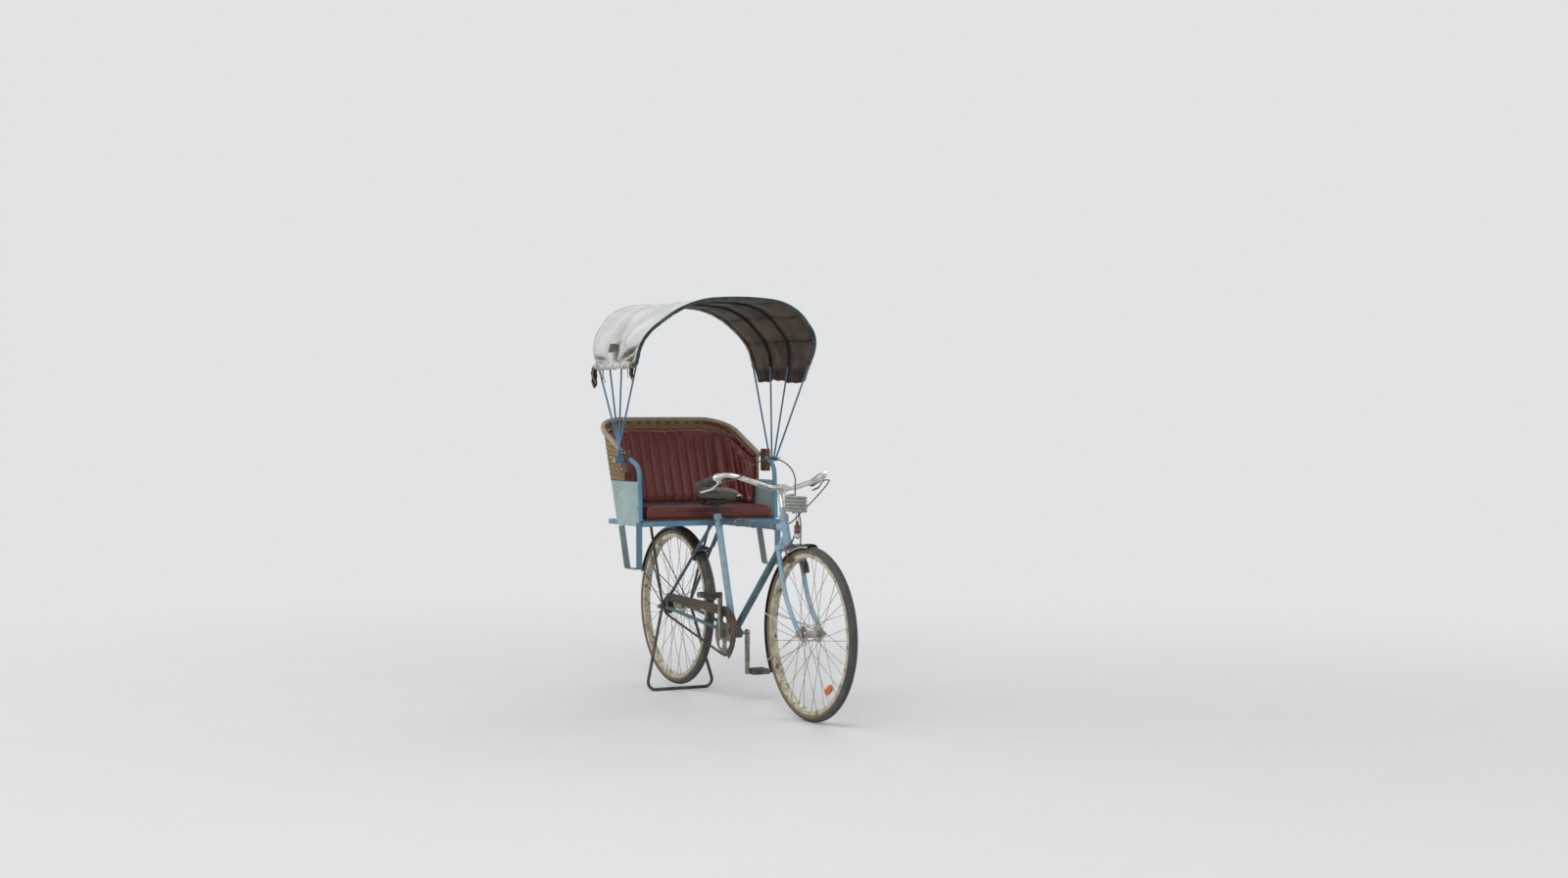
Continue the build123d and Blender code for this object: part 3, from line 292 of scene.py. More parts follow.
def canvasOutside(name, dull, bright):
    # Silver-grey coated canvas: thread weave, grime in runs, darker crease lines, and painted
    # shade in the folds, towards the right hem and in the rolled hem's gathers.
    made = Finish(name, Sheen_Weight=0.15, Sheen_Roughness=0.5)
    made.useUv()
    woven = weave(made)
    clouds = made.noise(5, 6, 0.65)
    grime = made.step(made.noise(13, 8, 0.7, stretch=(1, 2.6, 1)), 0.48, 0.74)
    across = made.axis("X")
    fromHem = made.math("MINIMUM", across, canvasLook["girth"] - across)
    nearHem = made.step(fromHem, 0.32, 0.02)
    creases = made.step(made.noise(24, 7, 0.75, stretch=(0.5, 1.4, 1)), 0.56, 0.64)
    tone = made.mix(made.step(clouds, 0.35, 0.68), srgb(*dull), srgb(*bright))
    tone = made.mix(grime * (0.18 + nearHem * 0.5), tone, srgb(120, 116, 102))
    tone = made.mix(creases * (0.1 + nearHem * 0.35), tone, srgb(92, 88, 74))
    # painted shade from the hood's grid: folds, right hem, rolled hem's gathers
    tone = made.mix(made.attribute("paintedShade") * (0.72 + clouds * 0.35), tone, srgb(54, 52, 40))
    rough = 0.62 + grime * 0.2 - made.step(clouds, 0.5, 0.7) * 0.1
    return made.surface(tone, rough, 0.0, woven * 0.5 + creases * 0.6, 0.0005)


def canvasInside(name, dark, light):
    # Bare dark side of the canvas: brown, stitched across about every 14 cm, blotched by damp,
    # with painted shade in the hollow beside each seam and on the flap and folds.
    made = Finish(name)
    made.useUv()
    woven = weave(made)
    blotch = made.noise(8, 6, 0.65)
    lane = made.math("PINGPONG", made.axis("X") + 0.02 + blotch * 0.006, 0.07)
    seam = made.step(lane, 0.0045, 0.0015)
    shadedHollow = made.step(lane, 0.03, 0.0)
    tone = made.mix(made.step(blotch, 0.35, 0.68), srgb(*dark), srgb(*light))
    # painted shade in the hollow beside each seam, which is also sunk
    tone = made.mix(shadedHollow * 0.5, tone, srgb(50, 42, 36))
    tone = made.mix(seam, tone, srgb(26, 22, 20))
    # painted shade from the hood's grid: the flap and the folds
    tone = made.mix(made.attribute("paintedShade") * 0.8, tone, srgb(44, 30, 23))
    return made.surface(tone, 0.82 - blotch * 0.1, 0.0, woven * 0.3 - seam - shadedHollow * 0.6, 0.0012)


def caneStraw(name, light, dark, byStrip=False):
    # Cane and straw strips: each strip has its own tone, with long fibres and grey wear.
    made = Finish(name)
    if byStrip:
        made.useUv()
    tone = made.attribute("strip") if byStrip else made.noise(60, 4, 0.6)
    fibre = made.noise(170, 4, 0.6)
    darkening = made.step(made.noise(22, 6, 0.65), 0.42, 0.72)
    tone = made.mix(tone, srgb(*dark), srgb(*light))
    tone = made.mix(fibre * 0.45, tone, srgb(92, 70, 44))
    tone = made.mix(darkening * 0.45, tone, srgb(86, 76, 60))
    return made.surface(tone, 0.6 + fibre * 0.2, 0.0, fibre, 0.0008)


canvasLook = {
    "sides": 0.366, "pitch": 0.010, "spread": 0.030, "leans": (-26, -8, 12, 32),
    "rise": 0.700, "springDrop": 0.200, "shoulderSide": 0.250, "shoulderDrop": 0.020,
    "hemLeg": 0.087, "shares": (0.9, 0.49, 0.4), "hem": 1.455, "clear": 0.0044,
    "thickness": 0.002, "across": 300, "along": 26, "girth": 1.40,
}
hemLook = {
    "flap": 0.062, "flapRows": 16, "rollRows": 40, "roll": 0.0142, "swell": 0.0040,
    "tied": 0.0085, "turns": 1.6, "ties": (0.012, 0.335, 0.985),
}
# Each way of making a surface, and for each surface its material's name and what it takes
recipes = {
    # colour, faded colour, chips: scale and threshold, dust, stain, roughness
    paint: {
        "lightBlue": ("lightBluePaint", (124, 156, 178), (150, 176, 190), 34, 0.66, 0.5, 0.35,
                      0.36),
        "teal": ("tealPaint", (48, 78, 92), (66, 98, 112), 30, 0.64, 0.55, 0.3, 0.4),
        "seatBlue": ("seatBluePaint", (70, 116, 148), (98, 142, 168), 40, 0.66, 0.4, 0.3, 0.42),
        "hoopBlue": ("hoopBluePaint", (62, 100, 132), (92, 130, 158), 60, 0.66, 0.3, 0.3, 0.45),
        "paleGreen": ("paleGreenPaint", (138, 164, 164), (160, 180, 178), 22, 0.64, 0.45, 0.5,
                      0.46),
        "greyGreen": ("greyGreenPaint", (104, 124, 124), (128, 144, 140), 26, 0.62, 0.5, 0.5, 0.5,
                      ("X", -0.372, -0.366, (86, 124, 148))),
        "black": ("blackEnamel", (34, 34, 36), (58, 57, 55), 30, 0.63, 0.6, 0.35, 0.4),
        "frontGuard": ("blackGuardPaint", (34, 34, 36), (58, 57, 55), 30, 0.63, 0.6, 0.35, 0.4,
                       ("Y", 0.0236, 0.0241, (196, 192, 176))),
        "guard": ("rustyGuardPaint", (44, 39, 32), (62, 53, 41), 18, 0.6, 0.3, 0.4, 0.6),
        "olive": ("oliveSteel", (92, 90, 76), (112, 110, 94), 40, 0.6, 0.5, 0.5, 0.5),
        "creamRail": ("creamRail", (186, 176, 150), (160, 146, 118), 40, 0.58, 0.5, 0.5, 0.5),
    },
    # colour, dull colour, rust: scale and threshold, roughness, metallic
    metal: {
        "chain": ("oilyChain", (88, 76, 64), (52, 44, 38), 60, 0.5, 0.42, 0.8),
        "crank": ("dullPlate", (150, 146, 138), (104, 100, 92), 40, 0.56, 0.34, 0.9),
        "chrome": ("wornChrome", (214, 214, 212), (180, 178, 172), 55, 0.66, 0.14, 1.0),
        "bronze": ("rustyBronze", (128, 102, 74), (92, 70, 50), 50, 0.52, 0.4, 0.8),
        "hub": ("hubSilver", (188, 184, 174), (142, 136, 124), 45, 0.6, 0.3, 0.9),
        "spoke": ("spokeSteel", (150, 146, 136), (112, 104, 92), 30, 0.6, 0.36, 0.85),
        "rim": ("rimSilver", (196, 190, 172), (158, 148, 126), 42, 0.56, 0.38, 0.6),
    },
    # colour, dust
    rubber: {
        "blackSleeve": ("blackSleeve", (34, 34, 36), 0.5),
        "grip": ("gripRubber", (44, 44, 47), 0.4),
        "pedal": ("pedalRubber", (38, 37, 36), 0.8),
    },
    # dark and light colour, stretch of the grain
    wood: {
        "block": ("brownWood", (58, 38, 26), (112, 78, 52), (1, 1, 0.12)),
        "board": ("seatBoardWood", (74, 54, 38), (134, 104, 74), (1, 0.08, 1)),
    },
    # colour, worn colour, dark colour, roughness
    vinyl: {
        "redVinyl": ("redVinyl", (104, 34, 30), (136, 62, 52), (60, 18, 18), 0.3),
        # the seat cushion's vinyl: the red vinyl made darker and browner as painted shade
        "paintedShadeVinyl": ("brownRedVinyl", (90, 34, 27), (116, 58, 46), (52, 20, 17), 0.38),
        "saddle": ("saddleLeather", (46, 34, 28), (84, 62, 46), (26, 18, 15), 0.36),
    },
    shell: {"darkRed": ("darkRedShell", (92, 30, 28), (130, 96, 84))},
    # colour, roughness, how clear
    glass: {
        "lens": ("clearLens", (225, 228, 226), 0.08, 0.3),
        "amber": ("amberReflector", (226, 120, 20), 0.2, 0.35),
    },
    sleeve: {"sleeve": ("greySleeve", (158, 160, 154), (108, 106, 98), (66, 62, 56))},
    tyreRubber: {
        "tyre": ("roadTyre", (62, 62, 62), (104, 102, 96), (138, 116, 84), (96, 80, 60))},
    canvasOutside: {"canvasOut": ("canvasOutside", (196, 197, 192), (226, 226, 222))},
    canvasInside: {"canvasIn": ("canvasInside", (72, 60, 50), (104, 88, 74))},
    # colour, worn colour
    cloth: {
        "piping": ("greenPiping", (42, 62, 62), (70, 90, 88)),
        "hemRoll": ("hemRoll", (176, 174, 162), (128, 122, 106)),
        # the dark square sheet on the hood: painted shade
        "shadePatchCloth": ("canvasPatch", (70, 69, 54), (98, 96, 80)),
        "tieCord": ("tieCord", (148, 136, 106), (108, 98, 76)),
        "darkTie": ("darkTie", (44, 36, 30), (66, 54, 44)),
        # dark cloth for the middle hoops' sleeves: painted shade on the hoops' undersides
        "sleeveCloth": ("hoopSleeve", (42, 36, 34), (60, 52, 48)),
        "rope": ("strawRope", (150, 122, 84), (112, 90, 60)),
    },
    # light and dark colour, and whether each strip has its own tone
    caneStraw: {
        "cane": ("caneWeave", (178, 148, 104), (122, 96, 62), True),
        "rimCane": ("rimCane", (214, 202, 172), (160, 142, 108)),
    },
}
finishes = {key: make(*values) for make, several in recipes.items()
            for key, values in several.items()}
print("finishes made")

# What each CAD node wears
worn = {
    "lightBlue": ["head_tube", "seat_tube", "fork"],
    "teal": ["top_tube", "down_tube", "bottom_bracket", "chain_stays", "seat_stays"],
    "seatBlue": ["seat_frame", "armrests"],
    "hoopBlue": ["hoop_1", "hoop_2", "hoop_3", "hoop_4"],
    "paleGreen": ["metal_body"],
    "greyGreen": ["stirrups"],
    "black": ["rear_mudguard", "seat_struts", "rear_stand", "saddle_frame", "dynamo"],
    "frontGuard": ["front_mudguard"],
    "guard": ["chain_guard"],
    "olive": ["chainwheel"],
    "chain": ["chain", "sprocket"],
    "crank": ["crankset", "rear_axle", "front_axle", "hood_pins"],
    "chrome": ["handlebar", "stem", "brake_levers"],
    "bronze": ["front_brake", "rear_brake"],
    "hub": ["front_hub", "rear_hub"],
    "spoke": ["front_spokes", "rear_spokes"],
    "rim": ["front_rim", "rear_rim"],
    "tyre": ["front_tyre", "rear_tyre"],
    "grip": ["grips"],
    "pedal": ["pedal_left", "pedal_right"],
    "saddle": ["saddle"],
    "redVinyl": ["back_pad"],
    "paintedShadeVinyl": ["seat_cushion"],
    "cane": ["cane_back"],
    "creamRail": ["back_rim"],
    "block": ["pivot_blocks"],
    "board": ["seat_board"],
    "sleeve": ["ring_lock"],
    "darkRed": ["lamp"],
    "blackSleeve": ["rear_cable", "cable_loops"],
    "canvasOut": ["canvas_1", "canvas_2", "canvas_3"],
}
for finish, names in worn.items():
    for name in names:
        cadNodes[name].data.materials.clear()
        cadNodes[name].data.materials.append(finishes[finish])
print("CAD nodes dressed")


def lengths(path):
    # how far along the path each of its points lies
    return np.concatenate([[0], np.cumsum(np.linalg.norm(np.diff(path, axis=0), axis=1))])


def turns(count):
    # even steps of one full turn, without its end
    return np.linspace(0, 2 * math.pi, count, endpoint=False)


def unit(vectors):
    # each vector over its own length
    return vectors / np.linalg.norm(vectors, axis=-1, keepdims=True)


def shaded(mesh, finish, smooth=True):
    # one material and one kind of shading for the whole mesh
    mesh.polygons.foreach_set("use_smooth", np.full(len(mesh.polygons), smooth))
    mesh.materials.clear()
    mesh.materials.append(finishes[finish])


def placed(name, data, body=None):
    # a new object in the scene, on its body
    made = bpy.data.objects.new(name, data)
    scene.collection.objects.link(made)
    if body:
        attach(made, body)
    return made


def putUv(mesh, uv):
    # each corner of a face takes the place of its point
    layer = mesh.uv_layers.new(name="surface")
    loops = np.zeros(len(mesh.loops), int)
    mesh.loops.foreach_get("vertex_index", loops)
    layer.data.foreach_set("uv", np.asarray(uv, float)[loops].ravel())


def addMesh(name, points, faces, finish, body, slot=None, uv=None, smooth=True, weld=False):
    # faces is one array, or a tuple of one of quads and one of triangles. A closed shape that
    # came out inside out is turned: its volume is the sum of the faces' triple products.
    several = faces if isinstance(faces, tuple) else (faces,)
    volume = 0
    for part in several:
        corners = [points[part[:, n]] for n in range(part.shape[1])]
        for second, third in zip(corners[1:-1], corners[2:]):
            volume += np.einsum("ij,ij->i", corners[0], np.cross(second, third)).sum()
    way = -1 if volume < 0 else 1
    mesh = bpy.data.meshes.new(name)
    mesh.from_pydata(points.tolist(), [],
                     [face for part in several for face in part[:, ::way].tolist()])
    if uv is not None:
        putUv(mesh, uv)
    if weld:  # poles are rows of one point
        work = bmesh.new()
        work.from_mesh(mesh)
        bmesh.ops.remove_doubles(work, verts=work.verts, dist=0.000001)
        work.to_mesh(mesh)
        work.free()
    shaded(mesh, finish, smooth)
    return placed(name, mesh, body)


def gridFaces(rows, columns, closeRows=False, closeColumns=False):
    # quads of a grid whose points are numbered row by row
    i = np.arange(rows if closeRows else rows - 1)
    j = np.arange(columns if closeColumns else columns - 1)
    i, j = np.meshgrid(i, j, indexing="ij")
    following, beside = (i + 1) % rows, (j + 1) % columns
    return np.stack([i * columns + j, following * columns + j, following * columns + beside,
                     i * columns + beside], -1).reshape(-1, 4)


def repeated(faces, count, points):
    # the same faces for each of several like pieces, numbered on by that many points
    return (faces[None] + (np.arange(count) * points)[:, None, None]).reshape(-1, 4)


def carried(path, radii, sides, reference, closed=False):
    # A round profile carried along a path. radii is one value or one for each path point.
    # reference is a direction that the path never runs along.
    path = np.asarray(path, float)
    ahead = np.roll(path, -1, 0) - np.roll(path, 1, 0) if closed else np.gradient(path, axis=0)
    ahead = unit(ahead)
    side = unit(np.cross(ahead, np.asarray(reference, float)))
    up = np.cross(side, ahead)
    turn = turns(sides)[None, :, None]
    radii = np.broadcast_to(np.asarray(radii, float), (len(path),))[:, None, None]
    return path[:, None] + radii * (np.cos(turn) * side[:, None] + np.sin(turn) * up[:, None])


def rodMesh(rings, closed=False):
    # points and faces of a carried profile, with a middle point at each end unless it is a loop
    count, sides = rings.shape[:2]
    points = rings.reshape(-1, 3)
    quads = gridFaces(count, sides, closed, True)
    if closed:
        return points, quads
    first = np.arange(sides)
    following, last = (first + 1) % sides, (count - 1) * sides
    caps = [np.stack([np.full(sides, len(points)), first, following], -1),
            np.stack([np.full(sides, len(points) + 1), following + last, first + last], -1)]
    ends = np.stack([rings[0].mean(0), rings[-1].mean(0)])
    return np.vstack([points, ends]), (quads, np.vstack(caps))


def addRod(name, path, radii, sides, reference, finish, body, slot, closed=False):
    # a carried profile as one piece
    return addMesh(name, *rodMesh(carried(path, radii, sides, reference, closed), closed), finish,
                   body, slot)


def rounded(corners, bends, count):
    # Points at equal steps along straight runs whose corners are rounded by arcs.
    corners = np.asarray(corners, float)
    pieces = [corners[:1]]
    for here, before, after, bend in zip(corners[1:-1], corners[:-2], corners[2:], bends):
        into, out = unit(here - before), unit(after - here)
        half = math.acos(np.clip(into @ out, -1, 1)) / 2
        reach = bend * math.tan(half)
        centre = here + unit(out - into) * bend / math.cos(half)
        start, end = here - into * reach - centre, here + out * reach - centre
        share = np.linspace(0, 1, 40)[:, None]
        arc = (np.sin((1 - share) * 2 * half) * start + np.sin(share * 2 * half) * end)
        pieces.append(centre + arc / math.sin(2 * half))
    pieces.append(corners[-1:])
    line = np.vstack(pieces)
    length = lengths(line)
    where = np.linspace(0, length[-1], count)
    return np.stack([np.interp(where, length, line[:, n]) for n in range(line.shape[1])], -1)


def skinned(grid, normal, half, name, finish, runs=None):
    # A thin sheet from one grid: the grid moved out and in by half its thickness, and a band
    # round its edges. The outer skin looks along normal.
    outer, inner = (np.reshape(grid + way * normal * half, (-1, 3)) for way in (1, -1))
    rows, width = grid.shape[:2]
    count = rows * width
    faces = gridFaces(rows, width)
    edge = np.concatenate([
        np.arange(width), np.arange(1, rows) * width + width - 1,
        (rows - 1) * width + np.arange(width - 2, -1, -1), np.arange(rows - 2, 0, -1) * width])
    after = np.roll(edge, -1)
    band = np.stack([edge, after, after + count, edge + count], -1)
    first = faces[len(faces) // 2]
    corner = outer[first]
    way = np.cross(corner[1] - corner[0], corner[2] - corner[0])
    if way @ normal.reshape(-1, 3)[first[0]] < 0:
        faces, band = faces[:, ::-1], band[:, ::-1]
    every = np.vstack([faces, faces[:, ::-1] + count, band[:, ::-1]])
    mesh = bpy.data.meshes.new(name)
    mesh.from_pydata(np.vstack([outer, inner]).tolist(), [], every.tolist())
    runs = runs or (lengths(grid[:, width // 2]), lengths(grid[rows // 2]))
    uv = np.stack(np.meshgrid(*runs, indexing="ij"), -1).reshape(-1, 2)
    putUv(mesh, np.tile(uv, (2, 1)))
    shaded(mesh, finish)
    mesh.normals_split_custom_set_from_vertices(
        np.vstack([normal.reshape(-1, 3), -normal.reshape(-1, 3)]).tolist())
    return placed(name, mesh)


def turnedPieces(name, places, normals, profile, sides, finish, body, slot, smooth=True):
    # The same small turned shape at many places: profile gives (radius, height) from the foot's
    # middle to the top's middle, turned about each normal.
    places, normals = np.atleast_2d(places).astype(float), np.atleast_2d(normals).astype(float)
    normals = unit(np.broadcast_to(normals, places.shape))
    reference = np.where(np.abs(normals[:, :1]) > 0.8, [[0.0, 1.0, 0.0]], [[1.0, 0.0, 0.0]])
    side = unit(np.cross(normals, reference))
    up = np.cross(normals, side)
    turn = turns(sides)[:, None]
    radius, height = np.array(profile).T[:, :, None, None]
    ring = radius * (np.cos(turn) * side[:, None, None] + np.sin(turn) * up[:, None, None])
    points = places[:, None, None] + ring + height * normals[:, None, None]
    faces = repeated(gridFaces(len(profile), sides, False, True), len(places),
                     len(profile) * sides)
    return addMesh(name, points.reshape(-1, 3), faces, finish, body, slot, smooth=smooth,
                   weld=True)


def roundedBlock(name, centre, axes, sizes, power, finish, body, slot):
    # A ball whose sines and cosines are raised to a small power, so that its six sides go flat
    # and its edges stay round.
    u = np.linspace(-math.pi / 2, math.pi / 2, 25)[:, None]
    u, v = np.broadcast_arrays(u, turns(48)[None, :])
    lift = [np.abs(np.cos(u)) ** power * np.abs(turn) ** power * np.sign(turn)
            for turn in (np.cos(v), np.sin(v))] + [np.sign(u) * np.abs(np.sin(u)) ** power]
    lift[0][[0, -1]] = lift[1][[0, -1]] = 0
    points = np.asarray(centre) + sum(
        size * part[..., None] * unit(np.asarray(axis, float))
        for size, part, axis in zip(sizes, lift, axes))
    return addMesh(name, points.reshape(-1, 3), gridFaces(25, 48, False, True), finish, body,
                   slot, weld=True)


def domeProfile(radius, height, foot=0.002):
    # a rivet's head
    return [(0, -foot), (radius, -foot), (radius, 0), (radius * 0.9, height * 0.5),
            (radius * 0.62, height * 0.85), (radius * 0.3, height * 0.98), (0, height)]


# Hood
def hoopFrame(index):
    # the hoop's lean in radians, and its plane: sideways and up along its lean
    angle = math.radians(canvasLook["leans"][index])
    return angle, np.array([0.0, 1.0, 0.0]), np.array([math.sin(angle), 0.0, math.cos(angle)])


def hemFoot(index):
    # from the pin to the height of the hem, along the hoop
    return (canvasLook["hem"] - bike["pin"][1]) / math.cos(hoopFrame(index)[0])


def hoopOutline(index, foot, grow, count):
    # The hoop's corners in its own plane, moved outward by grow, cut at foot, and rounded.
    look = canvasLook
    lean, sideways, up = hoopFrame(index)
    reach = look["rise"] / math.cos(lean)
    side = look["sides"] + index * look["pitch"]
    left = [(side, 0), (side + look["spread"], reach - look["springDrop"]),
            (look["shoulderSide"], reach - look["shoulderDrop"]), (0, reach)]
    corners = np.array(left + [(-x, y) for x, y in left[-2::-1]])
    into = unit(np.diff(corners, axis=0))
    normal = np.stack([into[:, 1], -into[:, 0]], -1)
    before, after = np.vstack([normal[:1], normal]), np.vstack([normal, normal[-1:]])
    middle = unit(before + after)
    moved = corners + middle * (grow / np.einsum("ij,ij->i", middle, before))[:, None]
    share = (foot - moved[0, 1]) / (moved[1, 1] - moved[0, 1])
    start = moved[0] + share * (moved[1] - moved[0])
    moved[0], moved[-1] = start, (-start[0], start[1])
    legs = [look["hemLeg"] * look["shares"][0],
            np.linalg.norm(corners[2] - corners[1]) * look["shares"][1],
            np.linalg.norm(corners[3] - corners[2]) * look["shares"][2]]
    bent = [math.acos(np.clip(into[n] @ into[n + 1], -1, 1)) for n in range(3)]
    bends = [leg / math.tan(turn / 2) + grow for leg, turn in zip(legs, bent)]
    flat = rounded(moved, bends + bends[1::-1], count)
    return at(bike["pin"][0], 0, bike["pin"][1]) + flat[:, :1] * sideways + flat[:, 1:] * up


def canvasOffset(index):
    # from a hoop's middle line to the cloth's, square to the cloth
    return canvasLook["clear"] / math.cos(hoopFrame(index)[0]) + canvasLook["thickness"] / 2


def hoodSurface():
    # Lines over the four hoops, joined by straight runs; one grid for all three panels.
    lines = [hoopOutline(index, hemFoot(index), canvasOffset(index), canvasLook["across"])
             for index in range(4)]
    share = np.linspace(0, 1, canvasLook["along"] + 1)[:, None]
    panels = [first[:, None] * (1 - share) + second[:, None] * share
              for first, second in zip(lines[:-1], lines[1:])]
    return np.concatenate(panels[:1] + [panel[:, 1:] for panel in panels[1:]], 1)


hoodShape = {
    "sag": 0.011,
    # From the right hem: share across the hood, share along it from the rear hoop, half width
    # along, half length across, depth, slant, darkness of the painted shade in it
    "folds": (
        (0.055, 0.520, 0.030, 0.060, 0.020, 0.8, 1.0),
        (0.050, 0.826, 0.046, 0.032, 0.019, -4.6, 1.0),
        (0.026, 0.900, 0.032, 0.018, 0.011, -3.6, 0.8),
        (0.033, 0.130, 0.080, 0.015, 0.014, 8.0, 0.95),
        (0.080, 0.300, 0.030, 0.030, 0.007, 1.2, 0.35),
        (0.110, 0.620, 0.020, 0.050, 0.006, -0.9, 0.3),
        (0.070, 0.730, 0.016, 0.030, 0.008, 2.4, 0.5),
        (0.150, 0.420, 0.022, 0.070, 0.005, 0.4, 0.2),
        (0.965, 0.300, 0.020, 0.050, 0.010, 0.6, 0.4),
        (0.955, 0.640, 0.020, 0.050, 0.010, -0.7, 0.4),
        (0.930, 0.860, 0.018, 0.050, 0.008, 0.9, 0.3),
    ),
}


def surfaceNormals(grid):
    # square to the grid, looking up at the middle of its first column
    normal = unit(np.cross(np.gradient(grid, axis=0), np.gradient(grid, axis=1)))
    return -normal if normal[len(grid) // 2, 0, 2] < 0 else normal


def hoodMiddle():
    # The grid with its sag, creases and folds, and how dark each of its points is painted as shade.
    grid = hoodSurface()
    rows, columns = grid.shape[:2]
    u = np.linspace(0, 1, rows)[:, None]  # 0 at the left hem, 1 at the right
    v = np.linspace(0, 1, columns)[None, :]
    between = np.sin(math.pi * ((v * 3) % 1.0)) ** 2
    between[:, [0, -1]] = 0
    toHem = np.minimum(u, 1 - u)
    depth = -hoodShape["sag"] * between * (1 - 0.55 * np.exp(-(toHem / 0.1) ** 2))
    # long soft creases across each panel that fan out towards the hem
    near = np.exp(-(toHem / 0.16) ** 2)
    wave = np.sin(v * 31 + 3 * np.sin(u * 9)) + 0.6 * np.sin(v * 57 + 11 * u)
    wave += 0.5 * np.sin(v * 12 - 23 * u)
    depth = depth + near * between ** 0.5 * wave * 0.0032
    depth = depth + (1 - near) * between * 0.0016 * np.sin(u * 60 + 4 * np.sin(v * 8))
    # painted shade: the right side greys towards its hem, unevenly
    darkening = 0.45 * np.exp(-((1 - u) / 0.085) ** 2) * (0.7 + 0.3 * np.sin(v * 14 + 25 * u)) + 0 * v
    for across, alongShare, width, length, deep, slant, dark in hoodShape["folds"]:
        # a sharp valley along a slanted line, with a soft ridge behind it
        across = 1 - across
        offset = ((v - alongShare) - slant * (u - across)) / width
        valley, ridge = np.exp(-offset ** 2), np.exp(-(offset + 1.7) ** 2)
        reach = np.exp(-np.abs((u - across) / length) ** 2.6)
        depth = depth - deep * (valley - 0.7 * ridge) * reach * (0.35 + 0.65 * between)
        # painted shade along the fold's valley
        darkening = np.maximum(darkening, dark * np.exp(-((offset + 0.6) * 0.85) ** 2) * reach)
    folded = withHems(grid + surfaceNormals(grid) * depth[..., None])
    # painted shade: the flap is dark all over, the roll darkest in its gathers
    flap = np.full((hemLook["flapRows"], columns), 0.75)
    roll = np.linspace(0.75, 0.35, hemLook["rollRows"])[:, None]
    roll = roll * (0.5 + 0.5 * np.sin(v * 130)) ** 2
    return folded, np.concatenate([flap, darkening, roll])


def withHems(grid):
    # Left: the cloth goes on down as a limp flap whose ripples grow. Right: it is rolled up in a
    # spiral whose radius swells between the ties.
    look, normal = hemLook, surfaceNormals(grid)
    v = np.linspace(0, 1, grid.shape[1])[None, :, None]
    fall = np.linspace(1, 0, look["flapRows"], endpoint=False)[:, None, None]
    ripple = 0.0045 * (1 + np.sin(v * 40 + 3 * fall)) + 0.003 * (1 + np.sin(v * 17 - 2 * fall))
    drop = look["flap"] * (1 + 0.10 * np.sin(v * 9 + 1) + 0.05 * np.sin(v * 31) + 0.3 * v ** 4)
    flap = grid[0] + unit(grid[0] - grid[4]) * fall * drop + normal[0] * ripple * fall
    pinch = np.min([np.abs(v - tie) for tie in look["ties"]], axis=0)
    swell = look["swell"] * (np.sin(v * 23) + 0.6 * np.sin(v * 51 + 2))
    radius = look["roll"] + swell
    radius = look["tied"] + (radius - look["tied"]) * (1 - np.exp(-(pinch / 0.035) ** 2))
    turn = np.linspace(0, 2 * math.pi * look["turns"], look["rollRows"] + 1)[1:, None, None]
    wrinkle = 0.0008 * np.sin(v * 130 + turn * 2) * np.exp(-pinch / 0.12)
    spiral = radius * (1 - 0.32 * turn / turn[-1]) + wrinkle
    down = unit(grid[-1] - grid[-5])
    rolled = grid[-1] + normal[-1] * (radius - spiral * np.cos(turn)) + down * spiral * np.sin(turn)
    return np.concatenate([flap, grid, rolled])


# the hood's grid and the painted shade at each of its points
hoodGrid, hoodPaintedShade = hoodMiddle()
hoodNormal = surfaceNormals(hoodGrid)
hoodAcross = lengths(hoodGrid[:, hoodGrid.shape[1] // 2])
hoodAcross -= hoodAcross[hemLook["flapRows"]]
hoodAlong = lengths(hoodGrid[hoodGrid.shape[0] // 2])


def panelBlend(made, index):
    # the point where the cloth would turn between two hoops is worked out and not used; the
    # panel's placing is baked into its points
    first, second = canvasLook["leans"][index:index + 2]
    lean, _, up = hoopFrame(index)
    ahead = np.array([math.cos(lean), 0, -math.sin(lean)])
    start = at(bike["pin"][0], 0, bike["pin"][1]) + up * hemFoot(index)
    gap = hemFoot(index) * math.sin(math.radians(second - first))
    tuple(start + ahead * gap)
    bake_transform(made)


def sheetArea(grid):
    # the cells' areas, each the length of the cross product of two of its sides, summed
    return float(np.linalg.norm(np.cross(grid[1:, :-1] - grid[:-1, :-1],
                                         grid[:-1, 1:] - grid[:-1, :-1]), axis=-1).sum())


def hoodPanel(index):
    # The panel's columns of the one surface, with the dark side out on the flap.
    along = canvasLook["along"]
    columns = slice(index * along, (index + 1) * along + 1)
    grid, normal = hoodGrid[:, columns], hoodNormal[:, columns]
    name = f"hoodCanvas{index + 1}"
    made = skinned(grid, normal, canvasLook["thickness"] / 2, name, "canvasOut",
                   (hoodAcross, hoodAlong[columns]))
    made.data.materials.append(finishes["canvasIn"])
    rows, width = grid.shape[:2]
    strip = np.repeat(np.arange(rows - 1), width - 1)
    kind = np.zeros(len(made.data.polygons), int)
    kind[:len(strip)] = strip < hemLook["flapRows"]
    kind[len(strip):2 * len(strip)] = strip < rows - 1 - hemLook["rollRows"]
    made.data.polygons.foreach_set("material_index", kind)
    # each point's painted shade, which both canvas materials read
    darkening = made.data.attributes.new("paintedShade", "FLOAT", "POINT")
    darkening.data.foreach_set("value", np.tile(hoodPaintedShade[:, columns].ravel(), 2))
    panelBlend(made, index)
    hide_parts(f"canvas_{index + 1}")
    area = sheetArea(grid)


